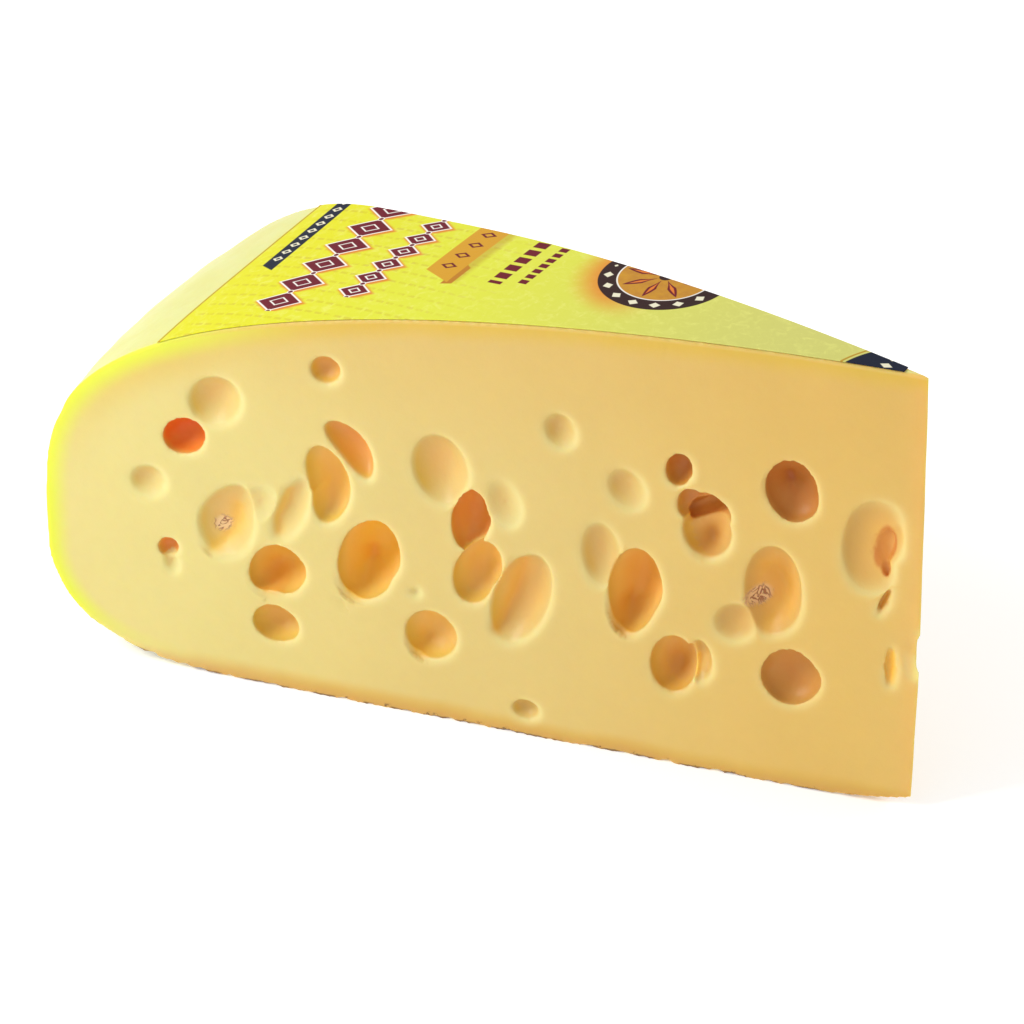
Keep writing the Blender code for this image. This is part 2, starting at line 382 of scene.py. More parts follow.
NEAR_EYES = (
    # Near the heel
    Eye(0.338, 0.091, 0.0085, 0.0075, 150, -0.55),
    Eye(0.3295, 0.0595, 0.0050, 0.0042, 126, 0.30, warm_shade=0.7),
    Eye(0.3285, 0.053, 0.0056, 0.0034, 85, -0.50),
    Eye(0.321, 0.116, 0.0097, 0.0080, 141, 0.35, bulges=(Bulge(225, 30, 0.04),), warm_shade=1.0),
    Eye(0.307, 0.136, 0.0130, 0.0110, 133, -0.45, bulges=(Bulge(300, 40, 0.04),)),
    Eye(
        0.303, 0.078, 0.0190, 0.0125, 109, -0.55, taper=-0.15,
        bulges=(Bulge(120, 25, 0.10), Bulge(320, 35, -0.08)),
    ),
    Eye(0.2886, 0.0905, 0.0092, 0.0068, 128, -0.86),
    Eye(0.274, 0.090, 0.0185, 0.0066, 112, -0.70),
    Eye(
        0.281, 0.058, 0.0134, 0.0112, 138, 0.30, taper=0.10,
        bulges=(
            Bulge(278, 14, -0.09),
            Bulge(235, 22, 0.07),
            Bulge(130, 30, -0.05),
            Bulge(315, 25, 0.04),
        ),
    ),
    Eye(
        0.282, 0.0315, 0.0100, 0.0090, 172, 0.25,
        bulges=(Bulge(130, 30, -0.08), Bulge(212, 30, 0.07)),
    ),
    # Between the heel and the middle
    Eye(0.258, 0.1605, 0.0068, 0.0062, 133, 0.05, warm_shade=0.3),
    Eye(
        0.2468, 0.1240, 0.0143, 0.0069, 56, 0.00, taper=0.22, bend=-0.15,
        bulges=(Bulge(55, 20, 0.04), Bulge(30, 22, 0.12), Bulge(275, 22, 0.06)),
        warm_shade=0.35,
    ),
    Eye(
        0.2584, 0.1045, 0.0188, 0.0092, 88, 0.00, bend=-0.14, taper=0.08,
        bulges=(Bulge(48, 22, 0.13), Bulge(318, 13, -0.16)),
    ),
    Eye(
        0.2395, 0.072, 0.0200, 0.0132, 105, 0.20, taper=-0.12,
        bulges=(
            Bulge(55, 30, 0.05),
            Bulge(220, 27, -0.15),
            Bulge(258, 18, -0.04),
            Bulge(292, 24, 0.07),
        ),
    ),
    Eye(0.220, 0.0605, 0.0026, 0.0020, 144, -0.45),
    Eye(0.213, 0.0405, 0.0122, 0.0113, 108, 0.00, bulges=(Bulge(130, 30, -0.04),)),
    # Around the middle
    Eye(0.2085, 0.1225, 0.0172, 0.0126, 83, -0.50, bulges=(Bulge(225, 30, -0.06),)),
    Eye(
        0.1953, 0.1005, 0.0141, 0.0081, 99, 0.35,
        bulges=(
            Bulge(92, 12, 0.07),
            Bulge(50, 20, -0.05),
            Bulge(137, 18, -0.07),
            Bulge(165, 14, 0.04),
            Bulge(225, 22, -0.06),
            Bulge(290, 22, 0.05),
        ),
        warm_shade=0.5,
    ),
    Eye(
        0.1925, 0.0760, 0.0165, 0.0097, 110, 0.10,
        bulges=(Bulge(222, 26, -0.14), Bulge(55, 25, -0.05), Bulge(265, 20, 0.03)),
    ),
    Eye(0.181, 0.1125, 0.0115, 0.0072, 80, -0.84),
    Eye(0.1735, 0.067, 0.0243, 0.0120, 109, -0.42),
    Eye(0.1715, 0.0125, 0.0060, 0.0048, 178, -0.10),
    Eye(0.157, 0.152, 0.0085, 0.0068, 84, -0.55),
    # Between the middle and the tip
    Eye(0.139, 0.096, 0.0158, 0.0088, 87, -0.62, bulges=(Bulge(230, 30, -0.08),)),
    Eye(0.1285, 0.130, 0.0098, 0.0082, 68, -0.64),
    Eye(
        0.1242, 0.0815, 0.0213, 0.0116, 98, 0.05, taper=0.10,
        bulges=(
            Bulge(128, 32, -0.09),
            Bulge(288, 22, 0.05),
            Bulge(228, 24, -0.06),
            Bulge(62, 18, -0.03),
        ),
    ),
    Eye(0.106, 0.1435, 0.0077, 0.0055, 100, 0.30, bulges=(Bulge(225, 12, -0.09),), warm_shade=0.7),
    Eye(
        0.1000, 0.1278, 0.0080, 0.0064, 84, 0.20, warm_shade=0.6,
        bulges=(Bulge(90, 40, -0.04), Bulge(325, 25, 0.08)),
    ),
    Eye(
        0.0925, 0.1260, 0.0096, 0.0084, 60, 0.05, warm_shade=0.5,
        bulges=(Bulge(120, 35, -0.09),),
    ),
    Eye(0.0938, 0.1165, 0.0126, 0.0105, 92, -0.10),
    Eye(0.1075, 0.049, 0.0140, 0.0098, 97, 0.10),
    Eye(0.0964, 0.0530, 0.0104, 0.0058, 89, -0.20),
    Eye(0.0815, 0.0755, 0.0102, 0.0084, 130, -0.60),
    # At the tip
    Eye(
        0.0655, 0.094, 0.0218, 0.0125, 91, -0.35,
        bulges=(Bulge(296, 20, 0.07), Bulge(225, 25, 0.03)),
    ),
    Eye(
        0.0585, 0.143, 0.0145, 0.0108, 88, 0.35,
        bulges=(Bulge(215, 22, 0.07), Bulge(300, 28, -0.05), Bulge(60, 30, -0.03)),
        warm_shade=0.7,
    ),
    Eye(
        0.057, 0.0535, 0.0138, 0.0122, 112, 0.30,
        bulges=(Bulge(130, 28, -0.09), Bulge(188, 20, 0.03), Bulge(310, 26, -0.04)),
        warm_shade=0.4,
    ),
    Eye(
        0.0240, 0.124, 0.0225, 0.0126, 97, -0.30, lean=0.5,
        bulges=(
            Bulge(122, 18, 0.12),
            Bulge(60, 22, 0.04),
            Bulge(212, 20, -0.18),
            Bulge(250, 14, 0.05),
        ),
    ),
    Eye(0.018, 0.0990, 0.0073, 0.0015, 112, 0.00, lean=0.5, warm_shade=1.0),
    Eye(0.0146, 0.068, 0.0098, 0.0024, 92, 0.00, lean=0.5, bulges=(Bulge(0, 40, 0.15),)),
    Eye(0.0040, 0.076, 0.0112, 0.0040, 95, 0.10, warm_shade=0.6, bulges=(Bulge(340, 30, 0.10),)),
)


@dataclass(frozen=True)
class Hollow:
    """A further bubble inside an eye of the near face.

    Its middle lies at along, up and depth. half_long, half_short and turn shape it as
    an eye's, half_thick is its half size into the cheese, ragged roughens it, and ruddy
    says how much painted warm shade it takes.
    """

    along: float
    up: float
    depth: float
    half_long: float
    half_short: float
    half_thick: float
    turn: float
    ragged: float = 0.1
    warm_shade: float = 0.0

    def spot(self, x: float, y: float) -> tuple[float, float]:
        """A place in the hollow, by its shares of the half length and half width."""
        return turned(self.half_long * x, self.half_short * y, self.turn)

    def warm_shade_share(self, place: FacePlaces) -> np.ndarray:
        """How much painted warm shade the hollow lays at each place.

        Args:
            place: The places.

        Returns:
            Their painted warm shade, up to that of the hollow.
        """
        x, y = turned(place.along - self.along, place.up - self.up, -self.turn)
        thick_share = (place.depth - self.depth) / self.half_thick
        apart = (x / self.half_long) ** 2 + (y / self.half_short) ** 2 + thick_share**2
        return self.warm_shade * ramp(np.sqrt(apart), 1.25, 1.05)


NEAR_HOLLOWS = (
    # Behind the ledge of the grouped eyes
    Hollow(0.0950, 0.1242, 0.0096, 0.0118, 0.0044, 0.0064, 152, ragged=0.08, warm_shade=0.3),
    # The torn wall between two eyes at the middle
    Hollow(0.1824, 0.0790, 0.0002, 0.0020, 0.0010, 0.0014, 118, ragged=0.45),
    Hollow(0.1838, 0.0748, 0.0002, 0.0015, 0.0011, 0.0018, 95, ragged=0.50),
    Hollow(0.1851, 0.0706, 0.0002, 0.0019, 0.0009, 0.0012, 130, ragged=0.45),
    Hollow(0.1868, 0.0664, 0.0002, 0.0014, 0.0011, 0.0018, 100, ragged=0.50),
    # The torn back of the large eye at the tip, and its steep right wall
    Hollow(0.0180, 0.1265, 0.0006, 0.0128, 0.0066, 0.0026, 104, ragged=0.06),
    Hollow(0.0198, 0.1232, 0.0034, 0.0092, 0.0048, 0.0016, 104, ragged=0.22, warm_shade=0.85),
    Hollow(0.0184, 0.1140, 0.0030, 0.0040, 0.0026, 0.0015, 80, ragged=0.34, warm_shade=0.85),
)


@dataclass(frozen=True)
class Furrow:
    """A soft crease in an eye of the near face, or a ridge if depth is negative.

    line holds its (along, up) places, width is how far it spreads to each side, and
    amber and ruddy say how much painted golden glow and painted warm shade it takes.
    """

    line: tuple[tuple[float, float], ...]
    width: float
    depth: float
    golden_glow: float = 0.0
    warm_shade: float = 0.0

    def closeness(self, place: FacePlaces) -> np.ndarray:
        """How close each point is to the crease's line: 1 on it, and 0 far away.

        Args:
            place: The places of the points.

        Returns:
            One share for each point.
        """
        nearest = np.full(place.along.shape, np.inf)
        for start, end in zip(self.line, self.line[1:]):
            run = (end[0] - start[0], end[1] - start[1])
            x = place.along - start[0]
            y = place.up - start[1]
            share = (x * run[0] + y * run[1]) / (run[0] ** 2 + run[1] ** 2)
            share = np.clip(share, 0, 1)
            nearest = np.minimum(nearest, np.hypot(x - share * run[0], y - share * run[1]))
        return np.exp(-((nearest / self.width) ** 2))


NEAR_FURROWS = (
    # The eye with a star crack near the heel
    Furrow(
        ((0.3000, 0.0815), (0.3002, 0.0755), (0.3018, 0.0704), (0.3056, 0.0655), (0.3108, 0.061)),
        0.0030, 0.0011, 0.5,
    ),
    Furrow(((0.3050, 0.0800), (0.3066, 0.0732)), 0.0050, -0.0010),
    # The narrow eye beside it
    Furrow(
        ((0.2750, 0.0980), (0.2768, 0.0905), (0.2803, 0.0840), (0.2800, 0.0770)),
        0.0024, 0.0009, 0.30, 0.08,
    ),
    # The low places at the backs of the large eyes
    Furrow(((0.2447, 0.0655), (0.2445, 0.0630)), 0.0032, 0.0016, warm_shade=0.35),
    Furrow(((0.2472, 0.0570), (0.2478, 0.0530)), 0.0055, 0.0020, 0.35),
    Furrow(((0.2184, 0.0330), (0.2184, 0.0300)), 0.0042, 0.0024, 0.35, 0.10),
    Furrow(((0.2850, 0.0500), (0.2845, 0.0480)), 0.0055, 0.0012, 0.10, 0.30),
    Furrow(((0.1308, 0.0680), (0.1306, 0.0610)), 0.0046, 0.0030, 0.20, 0.35),
    Furrow(((0.0945, 0.1095), (0.0943, 0.1080)), 0.0042, 0.0024, 0.10, 0.40),
    Furrow(((0.1080, 0.0430), (0.1080, 0.0410)), 0.0055, 0.0020, 0.10, 0.30),
    Furrow(((0.0630, 0.1440), (0.0626, 0.1420)), 0.0048, 0.0030, 0.0, 0.9),
    # The long eye at the middle
    Furrow(((0.1740, 0.0830), (0.1786, 0.0650), (0.1842, 0.0495)), 0.0030, 0.0016, 0.25, 0.25),
    # The pair of eyes low down
    Furrow(((0.0985, 0.0610), (0.0980, 0.0430)), 0.0010, -0.0012),
    Furrow(((0.0974, 0.0530), (0.0976, 0.0460)), 0.0016, 0.0006, 0.5),
    # The eye with a star crack near the tip
    Furrow(
        ((0.0690, 0.1000), (0.0632, 0.0930), (0.0630, 0.0830), (0.0680, 0.0750)),
        0.0038, 0.0012, 0.30, 0.10,
    ),
    # The torn back of the large eye at the tip
    Furrow(((0.0200, 0.1290), (0.0190, 0.1160)), 0.0048, 0.0, 0.20),
    # The narrow eyes at the tip
    Furrow(((0.0160, 0.1040), (0.0200, 0.0940)), 0.0022, 0.0, 0.45, 1.0),
    Furrow(((0.0140, 0.0750), (0.0140, 0.0610)), 0.0030, 0.0, 0.9),
    Furrow(((0.0040, 0.0810), (0.0050, 0.0680)), 0.0030, 0.0, 0.4, 0.5),
)


@dataclass(frozen=True)
class Crack:
    """A small star-shaped tear in an eye's wall."""

    along: float
    up: float
    reach: float


NEAR_CRACKS = (Crack(0.3064, 0.0730, 0.0050), Crack(0.0727, 0.0868, 0.0062))


@dataclass(frozen=True)
class Dent:
    """A worn place on the rind's edge: its place on the near face, spread and depth."""

    along: float
    up: float
    spread: float
    depth: float


HEEL_DENTS = (
    Dent(0.3757, 0.0365, 0.0036, 0.0013),
    Dent(0.3600, 0.0100, 0.0040, 0.0013),
    Dent(0.3790, 0.1180, 0.0050, 0.0007),
)


@dataclass(frozen=True)
class Waves:
    """A gentle relief from 0 to 1: sine waves that cross in seeded directions."""

    seed: int
    length: float
    count: int = 7

    def height_at(self, x: np.ndarray, y: np.ndarray) -> np.ndarray:
        """The relief's height at these places.

        Args:
            x: The places along one way.
            y: The places along the other way.

        Returns:
            Their heights, from 0 to 1.
        """
        draws = random.Random(self.seed)
        total = np.zeros(x.shape)
        for _ in range(self.count):
            way = draws.uniform(0, math.tau)
            length = self.length * draws.uniform(0.6, 1.6)
            run = x * math.cos(way) + y * math.sin(way)
            total += np.sin(run * math.tau / length + draws.uniform(0, math.tau))
        return np.clip(0.5 + total / self.count, 0, 1)


@dataclass(frozen=True)
class RimField:
    """How places on a cut face lie to the rims of its eyes."""

    eyes: tuple[Eye, ...]
    reach: float = 0.007
    steps: int = 80

    def measure(self, place: FacePlaces) -> tuple[np.ndarray, np.ndarray, np.ndarray]:
        """Measures from the nearest rim.

        Args:
            place: The places to measure.

        Returns:
            The distance outside the rim, which is negative inside it, the way from the
            eye's middle in degrees, and the eye's number, or -1 where none is in reach.
        """
        gap = np.full(place.along.shape, self.reach)
        way = np.zeros(place.along.shape)
        owner = np.full(place.along.shape, -1)
        for number, eye in enumerate(self.eyes):
            turns = [math.tau * step / self.steps for step in range(self.steps)]
            rim = np.array([eye.spot(math.cos(turn), math.sin(turn)) for turn in turns])
            x = place.along - eye.along
            y = place.up - eye.up
            box = np.abs(rim).max(axis=0) + self.reach
            near = np.flatnonzero((np.abs(x) < box[0]) & (np.abs(y) < box[1]))
            if near.size == 0:
                continue
            distance = self.outside(rim, x[near], y[near])
            closer = distance < gap[near]
            chosen = near[closer]
            gap[chosen] = distance[closer]
            way[chosen] = np.degrees(np.arctan2(y[chosen], x[chosen]))
            owner[chosen] = number
        return gap, way, owner

    def outside(self, rim: np.ndarray, x: np.ndarray, y: np.ndarray) -> np.ndarray:
        """How far points lie outside a closed line, and less than 0 inside it.

        Args:
            rim: The line's corners, one row for each.
            x: The places of the points along the face.
            y: The heights of the points.

        Returns:
            One distance for each point.
        """
        nearest = np.full(x.shape, np.inf)
        crossings = np.zeros(x.shape, dtype=int)
        for start, end in zip(rim, np.roll(rim, -1, axis=0)):
            run = end - start
            share = ((x - start[0]) * run[0] + (y - start[1]) * run[1]) / (run @ run)
            share = np.clip(share, 0, 1)
            apart = np.hypot(x - start[0] - share * run[0], y - start[1] - share * run[1])
            nearest = np.minimum(nearest, apart)
            spans = (start[1] > y) != (end[1] > y)
            if run[1] != 0:
                meets = start[0] + (y - start[1]) * run[0] / run[1]
                crossings += spans & (x < meets)
        return np.where(crossings % 2 == 1, -nearest, nearest)


@dataclass(frozen=True)
class FarEyeRule:
    """How the far face's eyes are scattered, the largest first."""

    count: int = 30
    seed: int = 11
    reach: tuple[float, float] = (0.050, 0.345)
    margin: float = 0.014
    largest: float = 0.0225
    smallest: float = 0.0045
    widths: tuple[float, float] = (0.55, 0.92)
    turns: tuple[float, float] = (60, 130)
    sinks: tuple[float, float] = (-0.55, 0.35)
    spacing: float = 1.08
    tries: int = 60

    def eyes(self, wheel: Wheel) -> list[Eye]:
        """The eyes of the far face.

        Args:
            wheel: The wheel whose crown ends the face.

        Returns:
            The eyes that found a place, each clear of the others.
        """
        draws = random.Random(self.seed)
        eyes: list[Eye] = []
        for number in range(self.count):
            share = number / (self.count - 1)
            size = self.largest * (self.smallest / self.largest) ** share
            for _ in range(self.tries):
                along = draws.uniform(*self.reach)
                roof = wheel.crown_height_at(along) - self.margin - size
                eye = Eye(
                    along=along,
                    up=draws.uniform(self.margin + size, roof),
                    half_long=size,
                    half_short=size * draws.uniform(*self.widths),
                    turn=draws.uniform(*self.turns),
                    sunk=draws.uniform(*self.sinks),
                )
                if all(self.apart(eye, other) for other in eyes):
                    eyes.append(eye)
                    break
        return eyes

    def apart(self, eye: Eye, other: Eye) -> bool:
        """Whether two eyes leave cheese between their rims."""
        distance = math.hypot(eye.along - other.along, eye.up - other.up)
        return distance > self.spacing * (eye.half_long + other.half_long)


def arithmetic(operation: str, swapped: bool = False) -> "Callable[[Wire, Number], Wire]":
    """Makes a method of a wire that takes another number.

    Args:
        operation: The operation of the Math node that it adds.
        swapped: Whether the other number comes first.

    Returns:
        The method.
    """

    def method(self: "Wire", other: "Number") -> "Wire":
        """The result of the operation on both numbers."""
        first, second = (other, self) if swapped else (self, other)
        return self.graph.maths(operation, first, second)

    return method


class Wire:
    """A number that varies over a surface, with arithmetic that adds Math nodes.

    least and most give the smaller and the larger of two numbers.
    """

    def __init__(self, graph: "Graph", socket: bpy.types.NodeSocket) -> None:
        """Keeps the graph that the socket belongs to."""
        self.graph = graph
        self.socket = socket

    __add__ = __radd__ = arithmetic("ADD")
    __sub__ = arithmetic("SUBTRACT")
    __rsub__ = arithmetic("SUBTRACT", swapped=True)
    __mul__ = __rmul__ = arithmetic("MULTIPLY")
    __truediv__ = arithmetic("DIVIDE")
    __rtruediv__ = arithmetic("DIVIDE", swapped=True)
    __pow__ = arithmetic("POWER")
    least = arithmetic("MINIMUM")
    most = arithmetic("MAXIMUM")

    def size(self) -> "Wire":
        """This without its sign."""
        return self.graph.maths("ABSOLUTE", self)

    def root(self) -> "Wire":
        """The square root."""
        return self.graph.maths("SQRT", self)

    def rise(self, low: float, high: float) -> "Wire":
        """A smooth step from 0 at low to 1 at high, and the other way if low is more.

        Args:
            low: Where the step is 0.
            high: Where the step is 1.

        Returns:
            The step.
        """
        if low > high:
            return 1 - self.rise(high, low)
        node = self.graph.node(
            "ShaderNodeMapRange",
            {"interpolation_type": "SMOOTHSTEP"},
            {"Value": self, "From Min": low, "From Max": high},
        )
        return Wire(self.graph, node.outputs["Result"])

    def after(self, start: float, soft: float = 0.0002) -> "Wire":
        """1 past this value and 0 before it, with a soft edge."""
        return self.rise(start - soft, start + soft)

    def before(self, end: float, soft: float = 0.0002) -> "Wire":
        """1 before this value and 0 past it, with a soft edge."""
        return self.rise(end + soft, end - soft)

    def band(self, low: float, high: float, soft: float = 0.00022) -> "Wire":
        """1 between two values, with soft edges."""
        return self.after(low, soft) * self.before(high, soft)

    def repeated(self, start: float, pitch: float) -> "Wire":
        """The place within a repeating step, with the step's middle at 0."""
        return self.graph.maths("WRAP", self - start, pitch, 0.0) - pitch / 2


Number = Wire | float
Tone = Colour | bpy.types.NodeSocket


class Graph:
    """The node tree of one material."""

    def __init__(self, name: str) -> None:
        """Starts a material that holds only its output."""
        self.material = bpy.data.materials.new(name)
        self.material.use_nodes = True
        self.tree = self.material.node_tree
        self.tree.nodes.clear()

    def node(self, kind: str, settings: dict, sockets: dict) -> bpy.types.Node:
        """Adds a node.

        Args:
            kind: The node's type.
            settings: Its own settings, which are set first.
            sockets: The value or the link of each input, by name or number.

        Returns:
            The new node.
        """
        made = self.tree.nodes.new(kind)
        for key, value in settings.items():
            setattr(made, key, value)
        for key, value in sockets.items():
            target = made.inputs[key]
            if isinstance(value, Wire):
                self.tree.links.new(value.socket, target)
            elif isinstance(value, bpy.types.NodeSocket):
                self.tree.links.new(value, target)
            elif target.type == "RGBA" and len(value) == 3:
                target.default_value = (*value, 1.0)
            else:
                target.default_value = value
        return made

    def maths(self, operation: str, *values: Number) -> Wire:
        """Adds a Math node on these values."""
        node = self.node(
            "ShaderNodeMath", {"operation": operation}, dict(enumerate(values))
        )
        return Wire(self, node.outputs[0])

    def blend(
        self, share: Number, under: Tone, over: Tone, way: Blend = Blend.COVER
    ) -> bpy.types.NodeSocket:
        """Lays one colour over another.

        Args:
            share: How much of the upper colour shows.
            under: The lower colour.
            over: The upper colour.
            way: How they are combined.

        Returns:
            The blended colour's socket.
        """
        node = self.node(
            "ShaderNodeMix",
            {"data_type": "RGBA", "blend_type": way.value},
            {0: share, 6: under, 7: over},
        )
        return node.outputs[2]

    def place(self) -> tuple[Wire, Wire, Wire, bpy.types.NodeSocket]:
        """The point on the object: its three coordinates, and all as one vector."""
        vector = self.node("ShaderNodeTexCoord", {}, {}).outputs["Object"]
        parts = self.node("ShaderNodeSeparateXYZ", {}, {"Vector": vector}).outputs
        return Wire(self, parts[0]), Wire(self, parts[1]), Wire(self, parts[2]), vector

    def noise(
        self,
        vector: bpy.types.NodeSocket,
        grain: float,
        detail: float = 2.0,
        roughness: float = 0.5,
        distortion: float = 0.0,
    ) -> Wire:
        """Noise from 0 to 1, with grain as the size of its patches in metres."""
        sockets = {"Vector": vector, "Scale": 1 / grain, "Detail": detail}
        sockets |= {"Roughness": roughness, "Distortion": distortion}
        return Wire(self, self.node("ShaderNodeTexNoise", {}, sockets).outputs["Fac"])

    def attribute(self, name: str) -> Wire:
        """A number that the mesh holds at its vertices."""
        node = self.node("ShaderNodeAttribute", {"attribute_name": name}, {})
        return Wire(self, node.outputs["Fac"])

    def bump(
        self, height: Wire, depth: float, under: bpy.types.NodeSocket | None = None
    ) -> bpy.types.NodeSocket:
        """A Bump node: height from 0 to 1 stands for this depth in metres.

        Args:
            height: The relief.
            depth: What a height of 1 stands for.
            under: The normal that the relief lies on.

        Returns:
            The new normal's socket.
        """
        sockets = {"Height": height, "Distance": depth, "Strength": 1.0}
        if under is not None:
            sockets["Normal"] = under
        return self.node("ShaderNodeBump", {}, sockets).outputs["Normal"]

    def finish(self, sockets: dict) -> bpy.types.Material:
        """Ends the material with a Principled shader.

        Args:
            sockets: The value or the link of each of the shader's inputs.

        Returns:
            The material.
        """
        shader = self.node("ShaderNodeBsdfPrincipled", {}, sockets)
        self.node("ShaderNodeOutputMaterial", {}, {"Surface": shader.outputs[0]})
        return self.material


class Coat:
    """A colour that grows as further colours are laid over it."""

    def __init__(self, graph: Graph, tone: Tone) -> None:
        """Starts with this colour."""
        self.graph = graph
        self.tone = tone

    def lay(self, share: Number, over: Tone, way: Blend = Blend.COVER) -> None:
        """Lays another colour over it, as strongly as share says."""
        self.tone = self.graph.blend(share, self.tone, over, way)

    def dim(self, share: Wire) -> None:
        """Multiplies the colour by this brightness."""
        grey = self.graph.node("ShaderNodeCombineColor", {}, {0: share, 1: share, 2: share})
        self.lay(1.0, grey.outputs[0], Blend.STAIN)


def add_object(name: str, data: bpy.types.ID) -> bpy.types.Object:
    """Adds an object of this data to the scene."""
    made = bpy.data.objects.new(name, data)
    bpy.context.scene.collection.objects.link(made)
    return made


def add_mesh(name: str, bm: bmesh.types.BMesh) -> bpy.types.Object:
    """Adds an object of the bmesh to the scene, and frees the bmesh."""
    mesh = bpy.data.meshes.new(name)
    bm.to_mesh(mesh)
    bm.free()
    return add_object(name, mesh)


def paint(red: int, green: int, blue: int) -> Colour:
    """A display colour, each part from 0 to 255, as linear light.

    Args:
        red: The red part.
        green: The green part.
        blue: The blue part.

    Returns:
        The same colour in linear light.
    """
    parts = []
    for part in (red, green, blue):
        share = part / 255
        low = share <= 0.04045
        parts.append(share / 12.92 if low else ((share + 0.055) / 1.055) ** 2.4)
    return tuple(parts)


class PasteField:
    """Where a point lies on the wedge, and the noises that its paste shares."""

    def __init__(self, graph: Graph, cut: Slice) -> None:
        """Adds the nodes that measure the point.

        Args:
            graph: The material's graph.
            cut: How the wedge is cut from its wheel.
        """
        self.graph = graph
        self.wheel = cut.wheel
        x, self.y, self.z, self.place = graph.place()
        reach = cut.axis_x - x
        self.radius = (reach * reach + self.y * self.y).root()
        lean_in = math.sin(cut.half_angle)
        square_in = math.cos(cut.half_angle)
        self.depth = reach * lean_in - self.y.size() * square_in
        self.along = reach * square_in + self.y.size() * lean_in
        flat_radius = self.wheel.base_flat_radius
        self.corner = ((self.radius - flat_radius) / self.wheel.corner_run).most(0.0)
        self.rind_gap = self.crown_gap().least(self.foot_gap())
        self.mottle = graph.noise(self.place, 0.035, detail=3.0)
        self.grain = graph.noise(self.place, 0.006, detail=4.0, roughness=0.6)
        self.waver = (self.mottle - 0.5) * 0.006
        self.heelward = self.radius.rise(0.25, 0.345)
        self.tipward = self.radius.rise(0.27, 0.05)

    def crown_gap(self) -> Wire:
        """The distance to the wheel's crown."""
        wheel = self.wheel
        upper = ((self.z - wheel.waist_height) / wheel.crown_rise).most(0.0)
        return self.curve_gap(
            (upper, wheel.crown_shoulder, wheel.crown_rise),
            (self.radius / wheel.radius, wheel.crown_fall, wheel.radius),
        )

    def foot_gap(self) -> Wire:
        """The distance to the wheel's lower corner and base."""
        wheel = self.wheel
        lower = ((wheel.waist_height - self.z) / wheel.waist_height).most(0.0)
        return self.curve_gap(
            (lower, wheel.base_corner, wheel.waist_height),
            (self.corner, wheel.base_fall, wheel.corner_run),
        )

    def curve_gap(self, *ways: tuple[Wire, float, float]) -> Wire:
        """The distance inside a curve on which two shares, to their powers, add up to 1.

        Args:
            ways: For each of the two ways the share, its power and its full length.

        Returns:
            The distance, judged by how steeply the sum changes.
        """
        first, second = (share**power for share, power, _ in ways)
        steep_first, steep_second = (
            (share ** (power - 1)) * (power / length) for share, power, length in ways
        )
        steepness = steep_first * steep_first + steep_second * steep_second + 1e-4
        return (1 - (first + second)) / steepness.root()

    def foot_height(self) -> Wire:
        """The height over the foot's edge, which rises at the heel."""
        wheel = self.wheel
        fullness = 1 - self.corner.least(0.99) ** wheel.base_fall
        rise = 1 - fullness ** (1 / wheel.base_corner)
        return self.z - rise * wheel.waist_height


